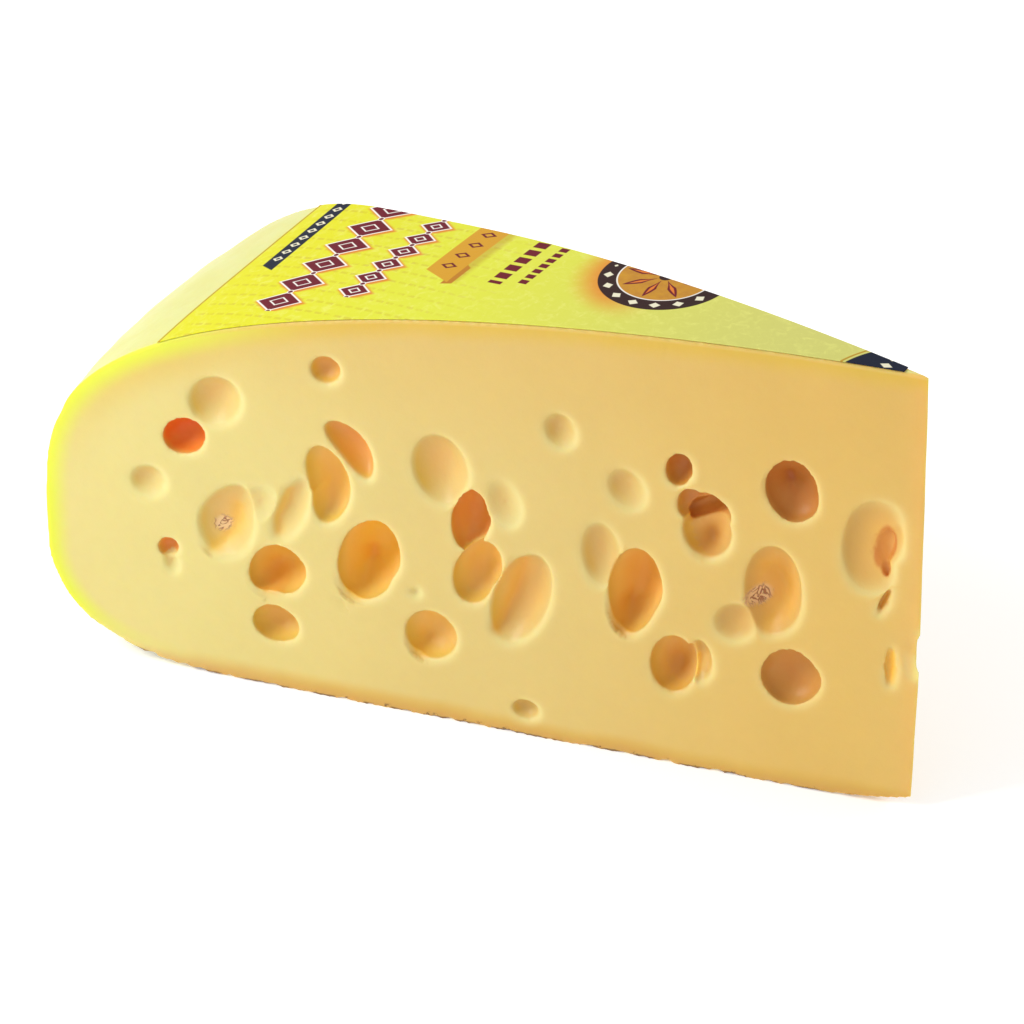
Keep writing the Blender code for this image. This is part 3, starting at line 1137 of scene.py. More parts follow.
@dataclass(frozen=True)
class PasteFinish:
    """The cheese: its paste, the rind band round the cut faces, and the eyes' insides, with painted
    light and shade on them.
    """

    slice: Slice
    heel_paste: Colour = paint(244, 227, 146)
    # From the heel to the tip the paste turns deeper, partly in its own tone and partly as painted
    # shade away from the light at the heel.
    middle_paste_and_shade: Colour = paint(241, 214, 134)
    tip_paste_and_shade: Colour = paint(244, 204, 112)
    upper_paste: Colour = paint(238, 192, 98)
    rind: Colour = paint(245, 244, 156)
    rind_patch: Colour = paint(238, 232, 128)
    # Partly the rind's band at the heel and partly a painted rim light along its shoulder.
    heel_band_and_rim_light: Colour = paint(243, 250, 74)
    crown_band: Colour = paint(240, 200, 78)
    crown_line: Colour = paint(246, 208, 112)
    foot_band: Colour = paint(230, 180, 98)
    # The rind's flecks at the foot, and painted shadow in the gaps under it.
    foot_flecks_and_shadow: Colour = paint(120, 88, 58)
    # Painted warm shade on the eye walls, deeper further in and towards the tip.
    heel_eye_shade: Colour = paint(240, 188, 108)
    tip_eye_shade: Colour = paint(228, 174, 94)
    heel_deep_shade: Colour = paint(248, 190, 72)
    tip_deep_shade: Colour = paint(224, 146, 54)
    # Painted glow of light through the paste, on the eye walls that face the tip or up.
    heel_gold_glow: Colour = paint(248, 208, 60)
    tip_gold_glow: Colour = paint(242, 184, 54)
    # Painted warm shade deep in some eyes, hollows and creases.
    warm_shade: Colour = paint(238, 112, 34)
    tip_warm_shade: Colour = paint(178, 82, 20)
    # Painted golden glow in the creases.
    golden_glow: Colour = paint(244, 194, 68)
    # Painted glow beside the rims.
    painted_glow: Colour = paint(252, 243, 172)
    dry: Colour = paint(238, 204, 166)
    # Painted shade in the dark lines of the star cracks.
    crack: Colour = paint(158, 92, 60)
    face_share: float = 0.73
    roughness: float = 0.42

    def material(self) -> bpy.types.Material:
        """The cheese's material.

        Returns:
            The new material.
        """
        graph = Graph("cheese_paste")
        where = PasteField(graph, self.slice)
        coat = Coat(graph, self.heel_paste)
        self.lay_paste(coat, where)
        self.lay_bands(coat, where)
        # Painted glow beside the rims, strongest on their lit side.
        coat.lay(graph.attribute("painted_rim_glow"), self.painted_glow)
        self.lay_rind(coat, where)
        coat.dim(self.face_share * (0.95 + where.grain * 0.05 + where.mottle * 0.05))
        self.lay_eyes(coat, where)
        # The dark lines of the star cracks are painted shade, and the torn paste is laid paler.
        tear_shade, torn = self.torn(where)
        coat.lay(torn.rise(0.02, 0.50) * 0.6, self.dry)
        coat.lay(tear_shade * 0.85, self.crack)
        relief = graph.bump(where.grain, 0.00025)
        return graph.finish(
            {
                "Base Color": coat.tone,
                "Roughness": self.roughness + (where.mottle - 0.5) * 0.15,
                "Normal": graph.bump(1 - torn, 0.0009, relief),
                "Subsurface Weight": 0.55,
                "Subsurface Radius": (1.0, 0.55, 0.22),
                "Subsurface Scale": 0.005,
                "IOR": 1.42,
                "Specular IOR Level": 0.35,
            }
        )

    def lay_paste(self, coat: Coat, where: PasteField) -> None:
        """Lays the paste's colours from the heel to the tip, partly its own tone and partly painted
        shade away from the light at the heel, and towards the crown.
        """
        coat.lay(where.radius.rise(0.34, 0.18), self.middle_paste_and_shade)
        coat.lay(where.radius.rise(0.20, 0.03), self.tip_paste_and_shade)
        coat.lay(where.z.rise(0.11, 0.20) * 0.45, self.upper_paste)

    def lay_bands(self, coat: Coat, where: PasteField) -> None:
        """Lays the bands that the rind leaves round the cut faces, with a painted rim light in the
        band at the heel.

        Args:
            coat: The colour that takes them.
            where: The point on the wedge.
        """
        wavy_gap = where.rind_gap + where.waver
        inland = 1 - where.heelward
        shoulder = wavy_gap.rise(0.028, 0.009) * where.z.rise(0.08, 0.15) * where.heelward
        coat.lay(shoulder * 0.45, self.crown_band)
        coat.lay(wavy_gap.rise(0.0125, 0.001) * inland * 0.85, self.crown_band)
        # The band at the heel: the rind's band with a painted rim light.
        heel_band_and_rim_light = (where.rind_gap + where.waver * 0.4).rise(0.0125, 0.001) * where.heelward
        coat.lay(heel_band_and_rim_light * where.z.rise(0.004, 0.026), self.heel_band_and_rim_light)
        coat.lay((where.z + where.waver).rise(0.010, 0.0) * 0.9, self.foot_band)
        edge = where.rind_gap.rise(0.0022, 0.0008) * where.z.rise(0.08, 0.12)
        coat.lay(edge * inland, self.crown_line)

    def lay_rind(self, coat: Coat, where: PasteField) -> None:
        """Lays the rind's outside, and the foot's dark edge: the rind's flecks with painted shadow
        in the gaps under the chipped foot.

        Args:
            coat: The colour that takes them.
            where: The point on the wedge.
        """
        graph = coat.graph
        on_rind = where.rind_gap.rise(0.0012, 0.0004) * where.depth.rise(0.0006, 0.0018)
        patches = where.mottle.rise(0.46, 0.66) * 0.45
        coat.lay(on_rind, graph.blend(patches, self.rind, self.rind_patch))
        coat.lay(where.z.rise(0.004, 0.001) * on_rind * 0.6, self.foot_band)
        foot = where.foot_height()
        # The foot's edge darkens in patches and flecks: the rind's flecks, and painted shadow in
        # the gaps under the chipped foot.
        foot_patches_and_shadow = graph.noise(where.place, 0.011, detail=3.0).rise(0.44, 0.54)
        foot_patches_and_shadow *= (foot + (where.grain - 0.5) * 0.0016).rise(0.0014, 0.0007)
        coat.lay(foot_patches_and_shadow * where.z.rise(0.020, 0.008) * 0.8, self.foot_flecks_and_shadow)
        fine_flecks_and_shadow = graph.noise(where.place, 0.0050, detail=4.0, roughness=0.70).rise(0.585, 0.64)
        fine_flecks_and_shadow *= foot.rise(0.0028, 0.0012) * where.z.rise(0.040, 0.002)
        coat.lay(fine_flecks_and_shadow * 0.85, self.foot_flecks_and_shadow)

    def lay_eyes(self, coat: Coat, where: PasteField) -> None:
        """Lays the insides of the eyes as painted light and shade, by their depth and by the body's
        tints.

        Args:
            coat: The colour that takes them.
            where: The point on the wedge.
        """
        graph = coat.graph
        inside = (where.depth + (where.grain - 0.5) * 0.0008).rise(0.0006, 0.0034)
        inside *= where.rind_gap.rise(0.0012, 0.003)
        far_in = (where.depth + (where.mottle - 0.5) * 0.003).rise(0.0015, 0.014)
        facing = graph.attribute("painted_gold_glow")
        # Painted warm shade on the eye walls, deeper further in and towards the tip.
        wall = Coat(graph, graph.blend(where.tipward, self.heel_eye_shade, self.tip_eye_shade))
        deep = graph.blend(where.tipward, self.heel_deep_shade, self.tip_deep_shade)
        wall.lay((where.depth + where.waver * 0.5).rise(0.008, 0.019), deep)
        # Painted glow of light through the paste on the walls that face the tip or up.
        wall.lay(facing, graph.blend(where.tipward, self.heel_gold_glow, self.tip_gold_glow))
        # Darker where shallow, nearest the face: painted shade that evens out the stronger light
        # there.
        wall.dim(0.76 + where.depth.rise(0.002, 0.010) * 0.24)
        # Painted light on the walls that face the heel, which keeps them near the face's colour.
        shown = (0.60 + far_in.most(facing) * 0.40) * (1 - graph.attribute("pale") * 0.85)
        coat.lay(inside * shown, wall.tone)
        # Painted warm shade deep in some eyes, hollows and creases.
        red = graph.blend(where.tipward, self.warm_shade, self.tip_warm_shade)
        coat.lay(graph.attribute("warm_shade") * 0.92, red)
        # Painted golden glow in the creases.
        coat.lay(graph.attribute("golden_glow"), self.golden_glow)

    def torn(self, where: PasteField) -> tuple[Wire, Wire]:
        """The star cracks, with painted shade in their dark lines.

        Args:
            where: The point on the wedge.

        Returns:
            How strongly the point takes the painted shade of a tear, and how deep it is torn.
        """
        crumb = where.graph.noise(
            where.place, 0.0052, detail=2.0, roughness=0.55, distortion=1.4
        )
        near_half = where.y.rise(0.002, -0.002)
        tear_shade: list[Wire] = []
        torn: list[Wire] = []
        for crack in NEAR_CRACKS:
            aside = where.along - crack.along
            above = where.z - crack.up
            apart = (aside * aside + above * above).root()
            zone = apart.rise(crack.reach, crack.reach * 0.35) * near_half
            tear = (crumb - 0.5).size().rise(0.050, 0.018) * zone
            tear_shade.append(tear)
            torn.append(zone * 0.5 + tear * 0.5)
        return reduce(Wire.most, tear_shade), reduce(Wire.most, torn)


@dataclass
class CheeseBody:
    """The wedge of cheese with its eyes, worn edges and chipped foot."""

    slice: Slice
    near_deepest: float = 0.55
    far_deepest: float = 0.34
    turn_steps: int = 24
    crown_steps: int = 64
    corner_steps: int = 28
    lift_steps: int = 8
    grid: float = 0.00075
    quick_grid: float = 0.0015
    most_triangles: int = 190_000
    kept_depth: float = 0.0045
    chip_seed: int = 5
    chip_counts: tuple[int, int] = (58, 40)
    chip_reach: tuple[float, float] = (0.045, 0.372)
    chip_sizes: tuple[float, float] = (0.0007, 0.0017)
    heel_chips: int = 14
    heel_chip_reach: tuple[float, float] = (0.300, 0.345)
    eye_sides: int = 40
    crisp_rim: float = 0.0003
    soft_rim: float = 0.0011
    rim_width: float = 0.0034
    glow_width: float = 0.0055
    wave_depth: float = 0.0004
    wave_length: float = 0.050
    wave_fade: float = 0.002
    rind_wear: float = 0.0006
    rind_wave_length: float = 0.034
    rind_ring: tuple[float, float] = (0.322, 0.352)
    tip_run: float = 0.030
    tip_heights: tuple[float, ...] = (0.0, 0.062, 0.100, 0.209)
    tip_depths: tuple[float, ...] = (0.0024, 0.0002, 0.0, 0.0004)
    # Each tint is painted light or shade in the eyes and beside their rims.
    tints: tuple[str, ...] = ("painted_rim_glow", "painted_gold_glow", "pale", "warm_shade", "golden_glow")
    lit_way: float = 225
    face_reach: float = 0.02
    eye_reach: float = 0.03
    # How fast the painted light on the eye walls fades with depth.
    wall_light_fade: float = 0.010
    glow_fade: float = 0.0016
    rims: dict[Side, RimField] = field(init=False)

    def __post_init__(self) -> None:
        """Settles where the eyes of both faces are."""
        self.rims = {
            Side.NEAR: RimField(NEAR_EYES),
            Side.FAR: RimField(tuple(FarEyeRule().eyes(self.slice.wheel))),
        }

    def build(self) -> bpy.types.Object:
        """Makes the whole piece.

        Returns:
            The finished object, riding on the frame in place of its node.
        """
        block = self.block()
        self.open_eyes(block)
        self.even_out(block)
        self.weather(block.data)
        self.thin_out(block)
        self.mark(block.data)
        block.data.shade_smooth()
        self.dress(block.data)
        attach(block, "root")
        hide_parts(WEDGE_NODE)
        return block

    def open_eyes(self, block: bpy.types.Object) -> None:
        """Cuts the eyes, the hollows inside them and the chips of the foot.

        Args:
            block: The wedge.
        """
        cutters = bpy.data.collections.new("openings")
        bpy.context.scene.collection.children.link(cutters)
        for side, deepest in ((Side.NEAR, self.near_deepest), (Side.FAR, self.far_deepest)):
            for eye in self.rims[side].eyes:
                self.add_bubble(cutters, eye, side, deepest)
        draws = random.Random(self.chip_seed)
        for hollow in NEAR_HOLLOWS:
            self.add_hollow(cutters, hollow, draws)
        self.add_chips(cutters, draws)
        modifier = block.modifiers.new("open_eyes", "BOOLEAN")
        modifier.operation = "DIFFERENCE"
        modifier.operand_type = "COLLECTION"
        modifier.collection = cutters
        modifier.solver = "MANIFOLD"
        self.apply(block)
        for cutter in list(cutters.objects):
            bpy.data.objects.remove(cutter)
        bpy.data.collections.remove(cutters)

    def even_out(self, block: bpy.types.Object) -> None:
        """Makes the mesh even and fine, and softens its creases.

        Args:
            block: The wedge.
        """
        remesh = block.modifiers.new("even_out", "REMESH")
        remesh.mode = "VOXEL"
        remesh.voxel_size = self.grid
        soften = block.modifiers.new("soften", "SMOOTH")
        soften.factor = 0.5
        soften.iterations = 3
        self.apply(block)

    def thin_out(self, block: bpy.types.Object) -> None:
        """Thins the mesh to its most triangles, and the near rims the least.

        Args:
            block: The wedge.
        """
        triangles = 2 * len(block.data.polygons)
        if triangles <= self.most_triangles:
            return
        place = self.slice.measure(self.points_of(block.data), Side.NEAR)
        gap, _, _ = self.rims[Side.NEAR].measure(place)
        kept = np.flatnonzero((place.depth < self.kept_depth) & (gap < self.glow_width))
        block.vertex_groups.new(name="rims").add(kept.tolist(), 1.0, "REPLACE")
        thin = block.modifiers.new("thin", "DECIMATE")
        thin.ratio = self.most_triangles / triangles
        thin.vertex_group = "rims"
        thin.invert_vertex_group = True
        self.apply(block)
        block.vertex_groups.clear()

    def block(self) -> bpy.types.Object:
        """The wedge before its eyes are opened, with its edges rounded.

        Returns:
            The object.
        """
        wheel = self.slice.wheel
        points = wheel.crown_outline(self.crown_steps)
        points += wheel.base_outline(self.corner_steps, self.lift_steps)
        bm = bmesh.new()
        axis_x = self.slice.axis_x
        verts = [bm.verts.new((axis_x - radius, 0, up)) for radius, up in points]
        face = bm.faces.new(verts)
        self.slice.spin(bm, [face, *face.edges, *face.verts], self.turn_steps)
        self.slice.swell(bm)
        tip = [
            edge
            for edge in bm.edges
            if all(abs(vert.co.x - axis_x) < MERGE_DISTANCE * 10 for vert in edge.verts)
        ]
        bmesh.ops.bevel(
            bm,
            geom=tip,
            offset=self.slice.tip_wear,
            offset_type="OFFSET",
            segments=2,
            profile=0.5,
            affect="EDGES",
            material=-1,
        )
        bmesh.ops.recalc_face_normals(bm, faces=bm.faces)
        return add_mesh("cheese_block", bm)

    def add_bubble(
        self, cutters: bpy.types.Collection, eye: Eye, side: Side, deepest: float
    ) -> None:
        """Adds the shaped ball that opens an eye.

        Args:
            cutters: The collection that takes it.
            eye: The eye.
            side: The cut face that it opens in.
            deepest: Its greatest depth, as a share of the wedge's thickness there.
        """
        bm = bmesh.new()
        bmesh.ops.create_uvsphere(
            bm, u_segments=self.eye_sides, v_segments=self.eye_sides // 2, radius=1
        )
        thickness = 2 * max(eye.along, self.slice.tip_wear)
        thickness *= math.sin(self.slice.half_angle)
        ball_depth = eye.depth(deepest * thickness) / (1 + eye.sunk)
        for vert in bm.verts:
            x, y, z = vert.co
            along, up = eye.spot(x / eye.rim_share, y / eye.rim_share)
            depth = ball_depth * (z + eye.sunk)
            along += eye.along + eye.lean * depth
            vert.co = self.slice.at(side, along, eye.up + up, depth)
        if side is Side.FAR:
            bmesh.ops.reverse_faces(bm, faces=bm.faces)
        self.add_cutter(cutters, bm)

    def add_cutter(self, cutters: bpy.types.Collection, bm: bmesh.types.BMesh) -> None:
        """Adds the bmesh to the cutters."""
        cutter = add_mesh("cutter", bm)
        bpy.context.scene.collection.objects.unlink(cutter)
        cutters.objects.link(cutter)

    def add_hollow(
        self, cutters: bpy.types.Collection, hollow: Hollow, draws: random.Random
    ) -> None:
        """Adds the rough ball that opens a hollow inside an eye.

        Args:
            cutters: The collection that takes it.
            hollow: The hollow.
            draws: The source of its roughness.
        """
        bm = bmesh.new()
        bmesh.ops.create_icosphere(bm, subdivisions=3, radius=1)
        offset = Vector((draws.uniform(0, 50), draws.uniform(0, 50), draws.uniform(0, 50)))
        for vert in bm.verts:
            fullness = 1 + hollow.ragged * noise.noise(vert.co * 1.8 + offset) * 2
            x, y, z = vert.co * fullness
            along, up = hollow.spot(x, y)
            depth = hollow.depth + hollow.half_thick * z
            vert.co = self.slice.at(Side.NEAR, hollow.along + along, hollow.up + up, depth)
        self.add_cutter(cutters, bm)

    def add_chips(self, cutters: bpy.types.Collection, draws: random.Random) -> None:
        """Adds the small rough lumps that chip the foot's edges.

        Args:
            cutters: The collection that takes them.
            draws: The source of their places, sizes and shapes.
        """
        wheel = self.slice.wheel
        for side, count in zip(Side, self.chip_counts):
            for _ in range(count):
                along = draws.uniform(*self.chip_reach)
                place = self.slice.at(side, along, wheel.base_height_at(along), 0)
                self.add_chip(cutters, place, draws)
        for _ in range(self.heel_chips):
            turn = draws.uniform(-0.9, 0.9) * self.slice.half_angle
            radius = draws.uniform(*self.heel_chip_reach)
            way = Vector((-math.cos(turn), math.sin(turn), 0))
            place = self.slice.axis_foot + way * radius
            place.z = wheel.base_height_at(radius)
            self.add_chip(cutters, place, draws)

    def add_chip(
        self, cutters: bpy.types.Collection, place: Vector, draws: random.Random
    ) -> None:
        """Adds one small rough lump.

        Args:
            cutters: The collection that takes it.
            place: Where it bites.
            draws: The source of its size and shape.
        """
        size = draws.uniform(*self.chip_sizes)
        shape = Vector((size * draws.uniform(1.0, 2.2), size, size * draws.uniform(0.5, 1.0)))
        bm = bmesh.new()
        bmesh.ops.create_icosphere(bm, subdivisions=2, radius=1)
        for vert in bm.verts:
            vert.co = place + vert.co * shape * draws.uniform(0.75, 1.25)
        self.add_cutter(cutters, bm)

    def apply(self, piece: bpy.types.Object) -> None:
        """Applies the piece's modifiers to its mesh.

        Args:
            piece: The object, which gets a new mesh.
        """
        graph = bpy.context.evaluated_depsgraph_get()
        mesh = bpy.data.meshes.new_from_object(piece.evaluated_get(graph))
        piece.modifiers.clear()
        old = piece.data
        piece.data = mesh
        bpy.data.meshes.remove(old)

    def dress(self, mesh: bpy.types.Mesh) -> None:
        """Gives every face the cheese's material."""
        mesh.materials.clear()
        mesh.materials.append(PasteFinish(self.slice).material())
        mesh.polygons.foreach_set("material_index", [0] * len(mesh.polygons))

    def points_of(self, mesh: bpy.types.Mesh) -> np.ndarray:
        """The mesh's vertices, one row for each."""
        points = np.empty(len(mesh.vertices) * 3)
        mesh.vertices.foreach_get("co", points)
        return points.reshape(-1, 3)

    def lit(self, way: np.ndarray) -> np.ndarray:
        """How soft a rim is and how strong the painted glow beside it, by the way from the eye's
        middle in degrees.
        """
        return 0.5 + 0.5 * np.cos(np.radians(way - self.lit_way))

    def weather(self, mesh: bpy.types.Mesh) -> None:
        """Rounds the rims, presses the creases and wears the rind and the faces.

        Args:
            mesh: The fine mesh, whose points only ever move into the cheese.
        """
        points = self.points_of(mesh)
        for side in Side:
            place = self.slice.measure(points, side)
            chosen = np.flatnonzero(place.depth < self.face_reach)
            near = place.only(chosen)
            gap, way, _ = self.rims[side].measure(near)
            rounding = self.crisp_rim + (self.soft_rim - self.crisp_rim) * self.lit(way) ** 2
            fall = ramp(gap, self.rim_width, 0) ** 2
            sink = rounding * fall * np.exp(-near.depth / (2 * rounding))
            waves = Waves(3 + side, self.wave_length).height_at(near.along, near.up)
            sink += self.wave_depth * waves * np.exp(-near.depth / self.wave_fade)
            points[chosen] += np.outer(sink, self.slice.inward(side))
        place = self.slice.measure(points, Side.NEAR)
        chosen = np.flatnonzero((place.depth < self.eye_reach) & (place.depth > 0.0002))
        near = place.only(chosen)
        sink = sum(furrow.depth * furrow.closeness(near) for furrow in NEAR_FURROWS)
        points[chosen] += np.outer(sink, self.slice.inward(Side.NEAR))
        self.wear_rind(points)
        offset = points - np.array(self.slice.axis_foot)
        worn = np.interp(points[:, 2], self.tip_heights, self.tip_depths)
        points[:, 0] -= worn * ramp(offset[:, 0], -self.tip_run, 0) ** 2
        points[:, 2] = np.maximum(points[:, 2], 0)
        mesh.vertices.foreach_set("co", points.ravel())
        mesh.update()

    def wear_rind(self, points: np.ndarray) -> None:
        """Makes the heel's rind uneven and dents its near edge.

        Args:
            points: The vertices, which are moved towards the wheel's axis.
        """
        offset = points - np.array(self.slice.axis_foot)
        radius = np.hypot(offset[:, 0], offset[:, 1])
        outward = offset.copy()
        outward[:, 2] = 0
        outward /= np.maximum(radius, MERGE_DISTANCE)[:, None]
        turn = np.arcsin(np.clip(outward[:, 1], -1, 1))
        relief = Waves(21, self.rind_wave_length)
        waves = relief.height_at(points[:, 2], turn * self.slice.wheel.radius)
        sink = self.rind_wear * waves * ramp(radius, *self.rind_ring) ** 2
        place = self.slice.measure(points, Side.NEAR)
        for dent in HEEL_DENTS:
            apart = np.hypot(place.along - dent.along, place.up - dent.up)
            apart = np.hypot(apart, place.depth * 0.5)
            sink += dent.depth * np.exp(-((apart / dent.spread) ** 2))
        points -= outward * sink[:, None]

    def mark(self, mesh: bpy.types.Mesh) -> None:
        """Stores the painted light and shade of each vertex.

        Args:
            mesh: The finished mesh. It gets an attribute for each tint: painted_rim_glow, a painted
            glow beside the rims, gold, a painted glow on walls that face the tip or up,
            and pale, painted light on those that face the heel, by how deep the eye is,
            ruddy, painted warm shade deep in some eyes, and amber, a painted golden glow
            in the creases.
        """
        points = self.points_of(mesh)
        normals = np.empty(points.size)
        mesh.vertex_normals.foreach_get("vector", normals)
        normals = normals.reshape(-1, 3)
        tints = {name: np.zeros(len(points)) for name in self.tints}
        for side in Side:
            chosen = np.flatnonzero(self.slice.measure(points, side).depth < self.eye_reach)
            found = self.eye_tints(side, points[chosen], normals[chosen])
            for name in ("painted_gold_glow", "pale"):
                tints[name][chosen] = found[name]
            for name in ("painted_rim_glow", "warm_shade"):
                tints[name][chosen] = np.maximum(tints[name][chosen], found[name])
        place = self.slice.measure(points, Side.NEAR)
        near_side = self.before_far_face(points, Side.FAR) * (place.depth < self.eye_reach)
        inside = ramp(place.depth, 0.0006, 0.0026) * near_side
        # Painted golden glow and painted warm shade along the creases.
        for furrow in NEAR_FURROWS:
            close = furrow.closeness(place) * inside
            tints["golden_glow"] = np.maximum(tints["golden_glow"], furrow.golden_glow * close)
            tints["warm_shade"] = np.maximum(tints["warm_shade"], furrow.warm_shade * close)
        # Painted warm shade in the hollows.
        for hollow in NEAR_HOLLOWS:
            tints["warm_shade"] = np.maximum(tints["warm_shade"], hollow.warm_shade_share(place) * near_side)
        for name, values in tints.items():
            mesh.attributes.new(name, "FLOAT", "POINT").data.foreach_set("value", values)

    def before_far_face(self, points: np.ndarray, other: Side) -> np.ndarray:
        """0 at the other cut face, and 1 from 2 mm before it."""
        return ramp(self.slice.measure(points, other).depth, 0.0004, 0.0024)

    def eye_tints(
        self, side: Side, points: np.ndarray, normals: np.ndarray
    ) -> dict[str, np.ndarray]:
        """How much painted light and shade points by a cut face take.

        Args:
            side: The cut face.
            points: The points, one row for each.
            normals: The ways that they face.

        Returns:
            The strength of each tint at each point.
        """
        near = self.slice.measure(points, side)
        gap, way, owner = self.rims[side].measure(near)
        lit = self.lit(way)
        # Painted glow beside the rims, strongest on their lit side.
        line = np.exp(-((np.maximum(gap, 0) / self.glow_fade) ** 2))
        painted_glow = (0.08 + 0.50 * lit) * ramp(gap, self.glow_width, 0) ** 1.6 + 0.45 * lit * line
        tipward = -(normals @ np.array(self.slice.length_way(side)))
        steep = 1 - np.abs(normals @ np.array(self.slice.inward(side)))
        upward = normals[:, 2]
        eyes = self.rims[side].eyes
        deep_eye = ramp(np.array([eye.sunk for eye in eyes] + [0.0])[owner], -0.25, 0)
        # Painted glow of light through the paste on walls that face the tip or up.
        painted_gold_glow = 0.9 * tipward + 0.45 * upward - 0.30
        painted_gold_glow = np.maximum(painted_gold_glow, deep_eye * (0.7 * upward + 0.5 * steep - 0.35))
        painted_gold_glow = np.maximum(ramp(painted_gold_glow, 0, 0.5), 0.35 * deep_eye)
        # Painted light on the walls that face the heel.
        pale = ramp(0.6 * upward - 0.8 * tipward, -0.22, 0.20) * (1 - 0.75 * deep_eye)
        # Painted warm shade deep in the eyes, less on walls that face up.
        warm_shade_share = np.array([eye.warm_shade for eye in eyes] + [0.0])[owner] * (gap < 0.004)
        warm_shade_share *= 1 - 0.25 * np.clip(upward * 1.6, 0, 1)
        other = Side.FAR if side is Side.NEAR else Side.NEAR
        fade = np.exp(-near.depth / self.wall_light_fade)
        return {
            "painted_rim_glow": np.clip(painted_glow, 0, 1) * np.exp(-near.depth / self.glow_fade),
            "painted_gold_glow": painted_gold_glow * fade,
            "pale": pale * fade,
            "warm_shade": warm_shade_share * ramp(near.depth, 0.001, 0.005) * self.before_far_face(points, other),
        }


@dataclass(frozen=True)
class Row:
    """A row of equal shapes printed across the label.

    inland is how far its middle lies from the label's outer edge, start is where it
    begins on the near side, pitch is the step between shapes, and half_wide and
    half_tall are their half sizes across the label and along it.
    """

    inland: float
    start: float
    pitch: float
    half_wide: float
    half_tall: float


@dataclass(frozen=True)
class LabelField:
    """Where a point lies on the label, and the paper's fibre.

    inland is the distance from the label's outer edge, side the place across it, and
    place the point on the object.
    """

    inland: Wire
    side: Wire
    fibre: Wire
    place: bpy.types.NodeSocket

    def slanted(self, share: float) -> Wire:
        """The place across the label, moved by this share of inland."""
        return self.side + self.inland * share


